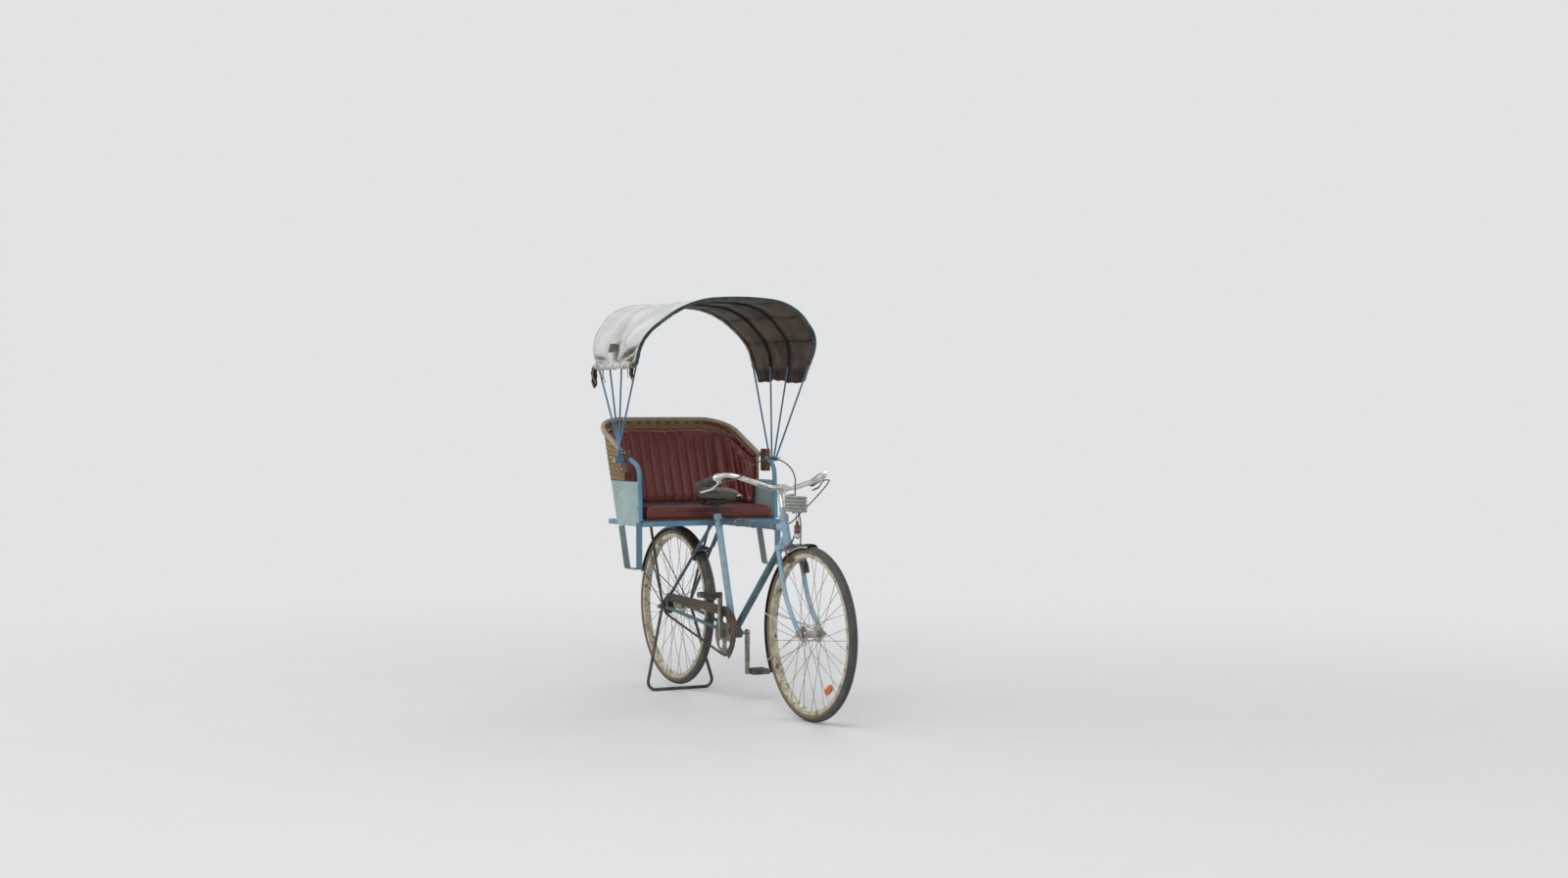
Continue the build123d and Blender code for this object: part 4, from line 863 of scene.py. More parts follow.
def paintedShadePatch():
    # A dark square sheet on the right side of the middle panel: painted shade.
    hem = hoodGrid.shape[0] - hemLook["rollRows"]
    first = canvasLook["along"] + 1
    area = (slice(hem - 27, hem - 16), slice(first, first + 12))
    grid = hoodGrid[area] + hoodNormal[area] * (canvasLook["thickness"] / 2 + 0.0009)
    made = skinned(grid, hoodNormal[area], 0.0007, "hoodShadePatch", "shadePatchCloth")
    panelBlend(made, 1)


for index in range(3):
    hoodPanel(index)
paintedShadePatch()
print("hood canvas made")


# Tyres
tyreLook = {
    "steps": 384, "blocks": 96, "cut": 0.0011, "valves": {"front_tyre": 215.0, "rear_tyre": 305.0},
    # radius and side of half the section, from the bead out to the middle of the tread
    "section": ((0.3129, 0.0117), (0.3215, 0.0119), (0.3272, 0.0122), (0.3284, 0.0148),
                (0.3312, 0.0172), (0.3345, 0.0186), (0.3380, 0.0189), (0.3413, 0.0184),
                (0.3445, 0.0170), (0.3475, 0.0150), (0.3500, 0.0127), (0.3519, 0.0103),
                (0.3533, 0.0079), (0.3524, 0.0071), (0.3526, 0.0061), (0.3543, 0.0056),
                (0.3548, 0.0034), (0.3536, 0.0029), (0.3537, 0.0019), (0.3550, 0.0014)),
    "nipple": ((0, -0.003), (0.0017, -0.003), (0.0022, 0), (0.0022, 0.0105), (0, 0.0108)),
    "valve": ((0, 0), (0.0045, 0), (0.0045, 0.003), (0.003, 0.0035), (0.003, 0.017),
              (0.0037, 0.0175), (0.0037, 0.027), (0.0025, 0.031), (0, 0.0312)),
}


def roadTyre(name, node, body, forward, up):
    # The section carried round the axle; the shoulder blocks stand above cuts between them.
    look, centre = tyreLook, at(forward, 0, up)
    half = np.array(look["section"])
    section = np.vstack([half, half[::-1] * (1, -1)])
    turn = turns(look["steps"])[:, None]
    shoulder = np.exp(-((np.abs(section[:, 1]) - 0.0108) / 0.0022) ** 2)
    phase = np.sign(section[:, 1]) * 0.7
    block = 0.5 + 0.5 * np.tanh(4 * np.cos(turn * look["blocks"] + phase))
    radius = section[:, 0] - look["cut"] * shoulder * (1 - block)
    side = np.broadcast_to(section[:, 1], radius.shape)
    points = centre + np.stack([radius * np.cos(turn), side, radius * np.sin(turn)], -1)
    run = lengths(section)
    # u goes from 1 down to 0 and back round the wheel, so its ends meet without a seam
    around = np.abs(np.linspace(-1, 1, look["steps"], endpoint=False))
    uv = np.stack(np.meshgrid(around, run / run[-1], indexing="ij"), -1).reshape(-1, 2)
    made = addMesh(name, points.reshape(-1, 3),
                   gridFaces(look["steps"], len(section), True, True), "tyre", body, "tyre", uv)
    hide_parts(node)
    # the wires' nipples, the valve and its cap
    index = np.arange(36)
    angle = np.radians(index * 10.0)
    lean = np.where(index % 2, 1.0, -1.0)[:, None] * np.array([[0, 0.0045, 0]])
    spokeWay = np.stack([np.cos(angle), 0 * angle, np.sin(angle)], -1)
    turnedPieces(name + "Nipples", centre + spokeWay * 0.2995 + lean, spokeWay, look["nipple"], 8,
                 "hub", body, "hub_steel")
    where = np.radians(look["valves"][node])
    inward = -np.array([math.cos(where), 0, math.sin(where)])
    turnedPieces(name + "Valve", centre - inward * 0.311, inward, look["valve"], 12, "hub", body,
                 "hub_steel")


roadTyre("frontTyre", "front_tyre", "front_wheel", bike["wheelbase"], bike["frontAxle"])
roadTyre("rearTyre", "rear_tyre", "rear_wheel", 0, bike["rearAxle"])
print("tyres made")

# Passenger seat
seatLook = {
    "half": 0.334, "corner": 0.130, "low": 0.756, "top": 1.240, "backLow": -0.014,
    "backHigh": -0.182, "metalTop": 0.950, "rimForward": 0.168, "rimHeight": 1.054,
    "rimSlope": 25.0,
}


def backAt(height):
    # how far forward the leaning back stands: a straight line between its ends
    look = seatLook
    share = (height - look["low"]) / (look["top"] - look["low"])
    return look["backLow"] + share * (look["backHigh"] - look["backLow"])


def rimAt(x):
    # the height of the wall's sloping edge
    look = seatLook
    behind = look["rimForward"] - (x + bike["wheelbase"] / 2)
    return look["rimHeight"] + behind * math.tan(math.radians(look["rimSlope"]))


def wallShares(sides=70, arc=48, back=70):
    # How far round the seat body each step stands, as shares of its four sizes: the front, the
    # back, the corner's radius and the half width. Left front, round the back, right front.
    run = np.linspace(0, 1, sides, endpoint=False)
    turn = np.linspace(0, math.pi / 2, arc, endpoint=False)
    left = np.linspace(1, 0, back)
    front = np.concatenate([1 - run, 0 * turn, 0 * left])
    rear = np.concatenate([run, 0 * turn + 1, 0 * left + 1])
    bend = np.concatenate([run, 1 - np.sin(turn), 0 * left])
    half = np.concatenate([0 * run + 1, 0 * turn + 1, left])
    inward = np.concatenate([0 * run, np.cos(turn) - 1, -left])
    return [np.concatenate([v, sign * v[-2::-1]]) for v, sign in (
        (front, 1), (rear, 1), (bend, 1), (half, -1), (inward, -1))]


def seatWall(height, inset, front, shares):
    # Points of the wall at heights given for each step round it, drawn in by inset.
    look = seatLook
    a, b, c, d, e = shares
    rear, bend, half = backAt(height) + inset, look["corner"] - inset, look["half"] - inset
    forward = front * a + rear * b + bend * c
    return np.stack([forward - bike["wheelbase"] / 2, half * d + bend * e + 0 * height,
                     height + 0 * forward], -1)


def wallRow(height, inset, front, shares):
    # points of the wall at one height all round
    return seatWall(np.full(len(shares[0]), height), inset, front, shares)


def wallTop(front, shares, rounds):
    # the height where the wall meets its sloping edge, found by going back and forth
    top = np.full(len(shares[0]), 1.1)
    for _ in range(rounds):
        top = rimAt(seatWall(top, caneLook["inset"], front, shares)[..., 0]) - 0.0005
    return top


def wayOut(rows):
    # level and square to the wall, away from the middle of each row of its points
    outward = unit(np.cross(np.gradient(rows, axis=-2), upward))
    fromMiddle = rows - rows.mean(-2, keepdims=True)
    return outward * np.sign((outward * fromMiddle).sum(-1))[..., None]


caneLook = {"rows": 19, "stakes": 44, "lift": 0.0021, "thick": 0.0009, "foot": 0.0006,
            "inset": 0.001, "height": 1.1, "stakeRadius": 0.0019}


def caneBack():
    # Flat strips woven over and under upright stakes. Each strip is a thin closed band whose
    # distance from the wall is a sine of the way round, with the next row half a wave on.
    look, shares, front = caneLook, wallShares(), seatLook["rimForward"] - 0.002
    steps, rows = len(shares[0]), look["rows"]
    around = lengths(wallRow(1.0, look["inset"], front, shares))
    around /= around[-1]
    low = seatLook["metalTop"] + look["foot"]
    size = (wallTop(front, shares, 5) - low) / rows
    row = np.arange(rows)[:, None]
    middle = seatWall(low + size * (row + 0.5), look["inset"], front, shares)
    outward = wayOut(middle)[:, :, None]
    wave = look["lift"] * np.sin(math.pi * (around * look["stakes"] + row))
    edge = np.array([[-0.5, 0], [-0.4, 1], [0.4, 1], [0.5, 0], [0.4, -1], [-0.4, -1]])
    ring = (middle[:, :, None] + outward * wave[..., None, None]
            + edge[:, 1:] * outward * look["thick"]
            + edge[:, :1] * size[:, None, None] * look["height"] * upward)
    uv = np.stack(np.meshgrid(around * 1.2, np.arange(6) * 0.004, indexing="ij"), -1)
    made = addMesh("caneWeave", ring.reshape(-1, 3),
                   repeated(gridFaces(steps, 6, False, True), rows, steps * 6), "cane", "frame",
                   "cane", np.tile(uv.reshape(-1, 2), (rows, 1)))
    # a tone for each strip, spread evenly by the sine of its number
    tone = made.data.attributes.new("strip", "FLOAT", "POINT")
    tone.data.foreach_set("value", np.repeat(np.sin(row * 12.9898) * 43758.5453 % 1.0, steps * 6))
    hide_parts("cane_back")
    # stakes
    stops = np.linspace(0.004, 0.996, look["stakes"] + 1)
    pick = np.interp(stops, around, np.arange(steps)).round().astype(int)
    some, front, count = [v[pick] for v in shares], seatLook["rimForward"] - 0.004, 9
    share = np.linspace(0, 1, count)[:, None]
    line = seatWall(low + (wallTop(front, some, 4) - low) * share, look["inset"], front, some)
    turn = turns(6)
    disc = np.stack([np.cos(turn), np.sin(turn), 0 * turn], -1)
    ring = line[:, :, None] + look["stakeRadius"] * disc
    addMesh("caneStakes", ring.transpose(1, 0, 2, 3).reshape(-1, 3),
            repeated(gridFaces(count, 6, False, True), len(pick), count * 6), "rope", "frame",
            "cane")


caneBack()


def rimLine(count, lift=0.0092, half=seatLook["half"]):
    # the seat's sloping edge as a path, raised square to it by lift
    look = seatLook
    slope = math.radians(look["rimSlope"])
    lean = (look["backLow"] - look["backHigh"]) / (look["top"] - look["low"])
    run = look["rimForward"] - backAt(look["rimHeight"])
    depth = run / (math.cos(slope) - math.sin(slope) * lean)
    front = at(look["rimForward"], 0, look["rimHeight"])
    corners = [front + np.array([-length * math.cos(slope) + lift * math.sin(slope), side * half,
                                 length * math.sin(slope) + lift * math.cos(slope)])
               for length, side in ((0, 1), (depth, 1), (depth, -1), (0, -1))]
    return rounded(corners, [look["corner"] + 0.006] * 2, count)


rimLook = {"radius": 0.0091, "wrap": 0.0008, "turns": 0.0082, "count": 1100}


def caneRim():
    # A rail wrapped in flat cane: each turn of the wrap swells and falls once along the path.
    path = rimLine(rimLook["count"])
    wave = np.abs(np.sin(math.pi * lengths(path) / rimLook["turns"])) ** 0.5
    made = addRod("wrappedRim", path, rimLook["radius"] + rimLook["wrap"] * wave, 14, (0.3, 0, 1),
                  "rimCane", "frame", "cream_rail")
    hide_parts("back_rim")
    # the weave's own bound edge, just below the rail
    edge = rimLine(700, -0.0022, seatLook["half"] - 0.0005)
    run = np.linspace(0, 1, 700)
    addRod("caneEdge", edge, 0.0044 + 0.0008 * np.abs(np.sin(run * 330)), 10, (0.3, 0, 1),
           "rimCane", "frame", "cane")


caneRim()
print("cane back and rim made")


# Padded seat
def merged(node, name, shrink):
    # a copy of a CAD solid with its corners joined, drawn in a little along its normals
    work = bmesh.new()
    work.from_mesh(cadNodes[node].data)
    bmesh.ops.remove_doubles(work, verts=work.verts, dist=0.00002)
    bmesh.ops.recalc_face_normals(work, faces=work.faces)
    work.normal_update()
    mesh = bpy.data.meshes.new(name)
    work.to_mesh(mesh)
    work.free()
    putPoints(mesh, readVectors(mesh, "co") - readVectors(mesh, "normal") * shrink)
    return placed(name, mesh)


def readVectors(mesh, kind):
    # the mesh's points, or with "normal" its way out at each of them
    flat = np.zeros(len(mesh.vertices) * 3)
    mesh.vertices.foreach_get(kind, flat)
    return flat.reshape(-1, 3)


def putPoints(mesh, points):
    # the mesh keeps its faces and takes these places
    mesh.vertices.foreach_set("co", np.asarray(points, float).ravel())
    mesh.update()


def baked(made):
    # the mesh as its modifiers leave it
    bpy.context.view_layer.update()
    graph = bpy.context.evaluated_depsgraph_get()
    return bpy.data.meshes.new_from_object(made.evaluated_get(graph))


def swollen(node, name, look):
    # Remeshed, blown up by cloth pressure for twenty frames, its movement capped, then smoothed.
    made = merged(node, name, look["shrink"])
    remesh = made.modifiers.new("remesh", "REMESH")
    remesh.mode, remesh.voxel_size = "VOXEL", look["voxel"]
    plain = baked(made)
    made.modifiers.clear()
    made.data = plain
    start = readVectors(plain, "co")
    cloth, frames = made.modifiers.new("cloth", "CLOTH"), 20
    cloth.settings.quality = 4
    cloth.settings.mass = 0.3
    cloth.settings.use_pressure = True
    cloth.settings.uniform_pressure_force = look["pressure"]
    cloth.settings.effector_weights.gravity = 0
    cloth.point_cache.frame_start, cloth.point_cache.frame_end = 1, frames
    for step in range(1, frames + 1):
        scene.frame_set(step)
    moved = readVectors(baked(made), "co") - start
    made.modifiers.clear()
    scene.frame_set(1)
    length = np.linalg.norm(moved, axis=1, keepdims=True)
    moved *= np.minimum(1, look["cap"] / np.maximum(length, 1e-9))
    putPoints(plain, start + moved)
    finer = made.modifiers.new("smooth", "SUBSURF")
    finer.levels = finer.render_levels = 1
    smooth = baked(made)
    made.modifiers.clear()
    made.data = smooth
    print(name, "swollen by up to", round(float(length.max()) * 1000, 1), "mm")
    return made, readVectors(smooth, "co"), readVectors(smooth, "normal")


def upholster(made, node, points, finish):
    # the shaped pad in its vinyl, in its node's place
    putPoints(made.data, points)
    shaded(made.data, finish)
    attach(made, "frame")
    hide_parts(node)


cushionLook = {"shrink": 0.003, "voxel": 0.0055, "pressure": 4.0, "cap": 0.013,
               "seams": (0.108, 0.218), "depth": 0.0042, "width": 0.0045, "edge": 0.8235}


def seatCushion():
    # Two seams run across it, each a valley with wrinkles beside it, and a line boxes its edge.
    look = cushionLook
    made, points, normals = swollen("seat_cushion", "seatCushion", look)
    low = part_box("seat_cushion")[0]
    # flat below, where the board carries it
    points[:, 2] = np.maximum(points[:, 2], low[2] + 0.0002)
    fromSeam = [np.abs(points[:, 0] - low[0] - seam) for seam in look["seams"]]
    valley = sum(np.exp(-(gap / look["width"]) ** 2) for gap in fromSeam)
    wrinkle = np.sin(points[:, 1] * 90 + 4 * np.sin(points[:, 0] * 24)) * np.exp(
        -(np.min(fromSeam, axis=0) / 0.02) ** 2)
    top = np.clip(normals[:, 2], 0, 1)
    beside = 1 - np.clip(np.abs(normals[:, 2]) * 1.6, 0, 1)
    boxed = np.exp(-((points[:, 2] - look["edge"]) / 0.0022) ** 2) * beside
    drop = look["depth"] * valley * top + 0.0016 * boxed - 0.0007 * wrinkle * top
    # its darker vinyl is painted shade
    upholster(made, "seat_cushion", points - normals * drop[:, None], "paintedShadeVinyl")


padLook = {"outside": 0.0352, "shrink": 0.004, "voxel": 0.0068, "pressure": 4.0, "cap": 0.010,
           "pitch": 0.046, "depth": 0.0085, "width": 0.0065, "edge": 0.026, "middle": 1.02,
           "inset": 0.044}


def backPad():
    # Upright pleats: the front skin is drawn in along lines at even steps round the seat.
    look = padLook
    made, points, normals = swollen("back_pad", "backPad", look)
    line = wallRow(look["middle"], look["inset"], seatLook["rimForward"], wallShares(50, 40, 50))
    run = lengths(line)
    ahead = unit(np.gradient(line, axis=0))
    # the pad leans back with height, so a point is first slid to the height of the line
    slid = points[:, :2].copy()
    slid[:, 0] += backAt(look["middle"]) - backAt(points[:, 2])
    nearest = np.concatenate([((part[:, None] - line[:, :2]) ** 2).sum(-1).argmin(1)
                              for part in np.array_split(slid, 40)])
    fromLine, ahead = slid - line[nearest, :2], ahead[nearest, :2]
    along = run[nearest] + (fromLine * ahead).sum(1) - run[-1] / 2
    inward = np.stack([-ahead[:, 1], ahead[:, 0]], -1)
    inward *= np.sign((inward * (np.array([-0.45, 0.0]) - line[nearest, :2])).sum(1))[:, None]
    # outside, it lies flat against the cane and the metal, never past them
    beyond = -(fromLine * inward).sum(1) - look["outside"]
    points[:, :2] += inward * np.maximum(beyond, 0)[:, None]
    facing = np.clip((normals[:, :2] * inward).sum(1) * 1.5, 0, 1)
    step = (along + look["pitch"] / 2) % look["pitch"] - look["pitch"] / 2
    valley = np.exp(-(step / look["width"]) ** 2)
    toRim = rimAt(points[:, 0]) - 0.011 - points[:, 2]
    fade = np.clip(toRim / look["edge"], 0, 1) ** 0.6
    fade *= np.clip((points[:, 2] - 0.836) / 0.03, 0, 1)
    pucker = np.sin(points[:, 2] * 210 + 5 * np.sin(along * 70)) * np.exp(-(step / 0.011) ** 2)
    drop = (look["depth"] * valley - 0.0006 * pucker) * facing * fade
    upholster(made, "back_pad", points - normals * drop[:, None], "redVinyl")


seatCushion()
backPad()
print("seat padded")

# Saddle
saddleLook = {
    "tail": (0.3519, 0.9056), "run": 0.266, "thick": 0.0042,
    # share from tail to nose, half width, height of the crown above the middle, skirt's drop
    "stations": ((0.0, 0.078, 0.016, 0.022), (0.06, 0.094, 0.0205, 0.03),
                 (0.28, 0.103, 0.0215, 0.04), (0.42, 0.078, 0.0195, 0.040),
                 (0.55, 0.046, 0.0165, 0.037), (0.82, 0.0265, 0.0125, 0.03),
                 (0.96, 0.019, 0.006, 0.022), (1.0, 0.012, 0.001, 0.014)),
    # rows and columns of the shell's grid where its rivets sit
    "rivets": ((2, 8), (2, 22), (2, 38), (2, 52), (69, 18), (69, 30), (69, 42)),
}


def saddleShell():
    # Leather stretched over a frame: each section is an arch whose skirts fall straight, and
    # the outline goes from the wide tail to the nose.
    look = saddleLook
    share, *sizes = np.array(look["stations"]).T
    u = 0.5 - 0.5 * np.cos(np.linspace(0, math.pi, 72))
    ease = [np.pad(np.interp(u, share, size), 3, mode="edge") for size in sizes]
    half, crown, drop = (np.convolve(v, np.ones(7) / 7, "valid")[:, None] for v in ease)
    u, v = u[:, None], np.linspace(-1, 1, 61)[None, :]
    side = half * np.sin(v * math.pi / 2 * 0.98)
    side = side * (1 + 0.05 * np.clip(np.abs(v) - 0.8, 0, 1))
    dish = 0.003 * np.exp(-((u - 0.45) / 0.2) ** 2) * (1 - v ** 2)
    forward = look["run"] * u + 0 * v
    # the tail and the nose are rounded in plan
    forward = forward + 0.018 * v ** 2 * np.exp(-u / 0.06) * 1.4
    forward = forward - 0.012 * v ** 2 * np.exp(-(1 - u) / 0.05)
    up = crown - drop * np.abs(v) ** 2.6 - dish - 0.009 * u
    tail = at(look["tail"][0], 0, look["tail"][1])
    grid = np.stack([tail[0] + forward, side, tail[2] + up], -1)
    normal = surfaceNormals(grid)
    normal *= np.sign(normal[36, 30, 2])
    made = skinned(grid - normal * look["thick"] / 2, normal, look["thick"] / 2, "saddleShell",
                   "saddle")
    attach(made, "frame")
    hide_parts("saddle")
    rows, columns = np.array(look["rivets"]).T
    turnedPieces("saddleRivets", grid[rows, columns], normal[rows, columns],
                 domeProfile(0.0052, 0.0022), 14, "hub", "frame", "hub_steel")


saddleShell()


# Hood fittings
def hoodFittings():
    # A sleeve along each hoop under the cloth, dark as painted shade on the middle two, and a
    # piping round both open edges.
    run = np.linspace(0, 1, 260)
    pucker = 0.0057 + 0.0006 * np.sin(run * 190) * np.sin(run * 47)
    # the middle two sleeves are dark as painted shade
    for index, finish in enumerate(("hemRoll", "sleeveCloth", "sleeveCloth", "piping")):
        path = hoopOutline(index, hemFoot(index) + 0.004, -0.0016, 260)
        addRod(f"hoopSleeve{index + 1}", path, pucker, 12, (1, 0, 0.2), finish,
               f"hoop_{index + 1}", "silver_canvas")
    for index, finish, radius in ((3, "piping", 0.0033), (0, "hemRoll", 0.0027)):
        path = hoopOutline(index, hemFoot(index), canvasOffset(index), 320)
        addRod(f"edgePiping{index + 1}", path, radius, 10, (1, 0, 0.2), finish,
               f"hoop_{index + 1}", "silver_canvas")


def hemTies():
    # Cord wound round the rolled hem and drawn tight, with a knot and two ends.
    look, last = hemLook, hoodGrid.shape[1] - 1
    reach = look["tied"] + 0.0035
    for number, (share, body) in enumerate(zip(look["ties"], ("hoop_1", "hoop_2", "hoop_4"))):
        column = int(round(share * last))
        middle = hoodGrid[-look["rollRows"] // 2:, column].mean(0)
        ahead = unit(hoodGrid[-2, min(column + 1, last)] - hoodGrid[-2, max(column - 1, 0)])
        up = unit(upward - ahead * ahead[2])
        side = np.cross(ahead, up)
        turn = np.linspace(0, 2 * math.pi * 3, 90, endpoint=False)[:, None]
        path = (middle + reach * (np.cos(turn) * up + np.sin(turn) * side)
                + ahead * (turn / (2 * math.pi) - 1.5) * 0.0052)
        addRod(f"hemTie{number + 1}", path, 0.0024, 8, ahead, "tieCord", body, "cane")
        # the ends hang and curl a little
        knot, share = middle - np.array([0, reach + 0.002, 0]), np.linspace(0, 1, 18)[:, None]
        for end, (lean, drop) in enumerate(((0.35, 0.075), (-0.25, 0.055))):
            line = (knot + ahead * (share * lean * drop + 0.004 * np.sin(share * 9 + end))
                    - upward * share * drop - np.array([0, 0.006, 0]) * np.sin(share * 3.1))
            addRod(f"tieEnd{number + 1}{'ab'[end]}", line, 0.0021 - 0.0004 * share[:, 0], 7,
                   (0.3, 1, 0), "tieCord", body, "cane")


def looseCloth(name, corner, width, length, ahead, body, twist):
    # A crumpled end of cloth: a strip that hangs, narrows and folds on itself.
    u, v = np.linspace(0, 1, 26)[:, None], np.linspace(-0.5, 0.5, 15)[None, :]
    ahead = unit(np.array(ahead, float))
    side = np.cross(ahead, upward)
    across = v * width * (1 - 0.45 * u ** 1.4 + 0.06 * np.sin(u * 11))
    fold = 0.0035 * np.sin(v * 16 + twist * u * 2) * (0.3 + u) + 0.002 * np.sin(u * 16 + v * 5)
    grid = (corner + (across * np.cos(twist * u))[..., None] * ahead
            + (across * np.sin(twist * u) + fold)[..., None] * side
            - (length * u + 0.006 * np.cos(v * 9) * u)[..., None] * upward)
    normal = surfaceNormals(grid)
    normal *= np.sign((normal * side).sum(-1).mean())
    made = skinned(grid, normal, 0.0009, name, "darkTie")
    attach(made, body)
    area = sheetArea(grid)


def looseEnds():
    # one at each end of the rolled hem, and a pale curl at the front of the left flap: a painted
    # highlight on its edge
    hem, front = hoodGrid[-hemLook["rollRows"]], hoodGrid[hemLook["flapRows"], -1]
    looseCloth("rearLooseEnd", hem[3] + np.array([-0.016, -0.012, -0.002]), 0.032, 0.085,
               (0.45, -1, 0), "hoop_1", 0.2)
    looseCloth("frontLooseEnd", hem[-4] + np.array([0.008, -0.012, 0.004]), 0.028, 0.060,
               (0.5, -1, 0), "hoop_4", -0.2)
    # the pale curl stands for a highlight on the flap's front edge: painted highlight
    share = np.linspace(0, 1, 14)[:, None]
    path = (front + np.array([0.002, -0.003, 0.008]) + share * np.array([0.020, -0.006, -0.022])
            + np.sin(share * 3) * np.array([0, 0, 0.006]))
    addRod("edgeHighlightCurl", path, 0.0045 * (1.15 - share[:, 0]), 8, (0, 1, 0), "hemRoll", "hoop_4",
           "silver_canvas")


hoodFittings()
hemTies()
looseEnds()
print("hood fittings made")

# Bar, lock and lamp
steerLook = {"foot": (1.1705, 0.3334), "lean": 18.5}


def steered(ahead, side, along):
    # a place that turns with the fork: ahead of the steering line, sideways, and up along it
    lean = math.radians(steerLook["lean"])
    return (at(steerLook["foot"][0], side, steerLook["foot"][1])
            + ahead * np.array([math.cos(lean), 0, math.sin(lean)])
            + along * np.array([-math.sin(lean), 0, math.cos(lean)]))


barMiddle = steered(0.028, 0, 0.630)
# the bar's left half, from its middle to its end
barCorners = np.array([[0, 0.060, 0], [0.014, 0.142, 0.026], [-0.036, 0.236, 0.062],
                       [-0.238, 0.272, 0.008]])
gripLook = {"length": 0.118, "radius": 0.0142, "rib": 0.0013, "ribs": 21, "flange": 0.0022}


def gripRings(side):
    # A tube whose radius rises in even ribs, with a flange inside and a rounded end outside.
    look = gripLook
    end, corner = (barMiddle + barCorners[n] * (1, side, 1) for n in (3, 2))
    run, share = unit(corner - end), np.linspace(0, 1, 200)
    rib = np.abs(np.sin(math.pi * look["ribs"] * share)) ** 0.5
    radius = look["radius"] + look["rib"] * rib * (share > 0.06) * (share < 0.93)
    radius = radius + look["flange"] * np.exp(-((share - 0.965) / 0.022) ** 4)
    radius = radius * np.clip(share / 0.035, 0.05, 1) ** 0.4
    path = end - run * 0.004 + run * (look["length"] + 0.004) * share[:, None]
    return carried(path, radius, 22, (0, 0, 1))


def ribbedGrips():
    # both grips in one mesh
    left, right = (rodMesh(gripRings(side)) for side in (1, -1))
    faces = tuple(np.vstack([a, b + len(left[0])]) for a, b in zip(left[1], right[1]))
    grips = addMesh("ribbedGrips", np.vstack([left[0], right[0]]), faces, "grip", "steering",
                    "grip_rubber")
    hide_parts("grips")


lockLook = {"radius": 0.0405, "cord": 0.0064, "turns": 5.05, "height": 0.080}
lampMiddle = steered(0.0868, 0, 0.4123)


def lockCoil():
    # A sleeved wire wound into a helix; both ends turn inward to the lock's barrel.
    look, low = lockLook, steered(0.1027, 0, 0.4977)
    turn = np.linspace(0, 2 * math.pi * look["turns"], 300)
    share = turn / turn[-1]
    tuck = np.clip(np.abs(share - 0.5) * 2 - 0.955, 0, 1) / 0.045
    radius = look["radius"] + 0.0007 * np.sin(turn * 0.8 + 1) - 0.020 * tuck ** 1.5
    height = look["cord"] + (look["height"] - 2 * look["cord"]) * share
    path = low + np.stack([-radius * np.cos(turn), radius * np.sin(turn), height], -1)
    made = addRod("lockCoil", path, look["cord"] + 0.00012 * np.sin(turn * 40), 16, (0, 0, 1),
                  "sleeve", "steering", "grey_sleeve")
    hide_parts("ring_lock")
    # its barrel and the strap that holds it to the stem
    run = np.linspace(0, 1, 40)
    strap = low + np.array([-0.027, 0, 0.048]) - np.array([0.086, 0, 0]) * run[:, None]
    addRod("lockStrap", strap, 0.0052 + 0.0014 * (np.sin(run * 20) > 0.4), 14, (0, 0, 1),
           "chrome", "steering", "chrome")
    foot, head = low + np.array([[-0.027, 0, 0.016], [-0.027, 0, 0.072]])
    share = np.linspace(0, 1, 60)
    size = 0.0098 + 0.0011 * (np.abs(share - 0.5) > 0.36)
    size = size * np.clip(np.minimum(share, 1 - share) / 0.02, 0.1, 1) ** 0.5
    share = share[:, None]
    addRod("lockBarrel", foot * (1 - share) + head * share, size, 18, (1, 0, 0), "chrome",
           "steering", "chrome")
    # two thin hangers from the coil to the lamp
    for number, side in enumerate((-0.0042, 0.0046)):
        foot = np.array([lampMiddle[0], side * 0.7, lampMiddle[2] + 0.054])
        head = np.array([lampMiddle[0] - 0.002, side, low[2] + 0.008])
        bow = np.sin(share * math.pi) * np.array([0.001, side * 0.25, 0])
        addRod(f"lampHanger{number + 1}", foot * (1 - share) + head * share + bow, 0.0013, 8,
               (1, 0, 0), "darkRed" if number else "blackSleeve", "steering", "chrome")


def ringPath(centre, first, second, count):
    # a closed oval with first and second as its half axes
    turn = turns(count)[:, None]
    return centre + np.cos(turn) * first + np.sin(turn) * second


def lampLens():
    # A clouded dome below the shell, in a bright ring, with a seam round the shell.
    turnedPieces("lampLens", lampMiddle, (0, 0, -1), [
        (0, -0.004), (0.0127, -0.004), (0.0129, 0.0), (0.0122, 0.006), (0.0104, 0.0112),
        (0.0072, 0.0154), (0.0036, 0.0174), (0, 0.0179)], 28, "lens", "steering", "dark_red")
    rings = ((0.0045, 0.0132, 0.0013), (0.0225, 0.0131, 0.0007))
    for number, (height, radius, thick) in enumerate(rings):
        path = ringPath(lampMiddle + [0, 0, height], [radius, 0, 0], [0, radius, 0], 48)
        addRod(f"lampRing{number + 1}", path, thick, 8, (0, 0, 1), "chrome", "steering", "chrome",
               closed=True)


ribbedGrips()
lockCoil()
lampLens()
print("grips, lock and lamp made")

# Brake cables
cableLook = {
    "radius": 0.0026, "stop": (0.34425, 0.0169, 0.778), "lever": (0.2848, 0.2465, 0.964),
    "clips": (0.310, 0.120, -0.020),
    "ferrule": ((0, -0.004), (0.0034, -0.004), (0.0040, -0.003), (0.0040, 0.010),
                (0.0033, 0.011), (0.0033, 0.014), (0, 0.014)),
}


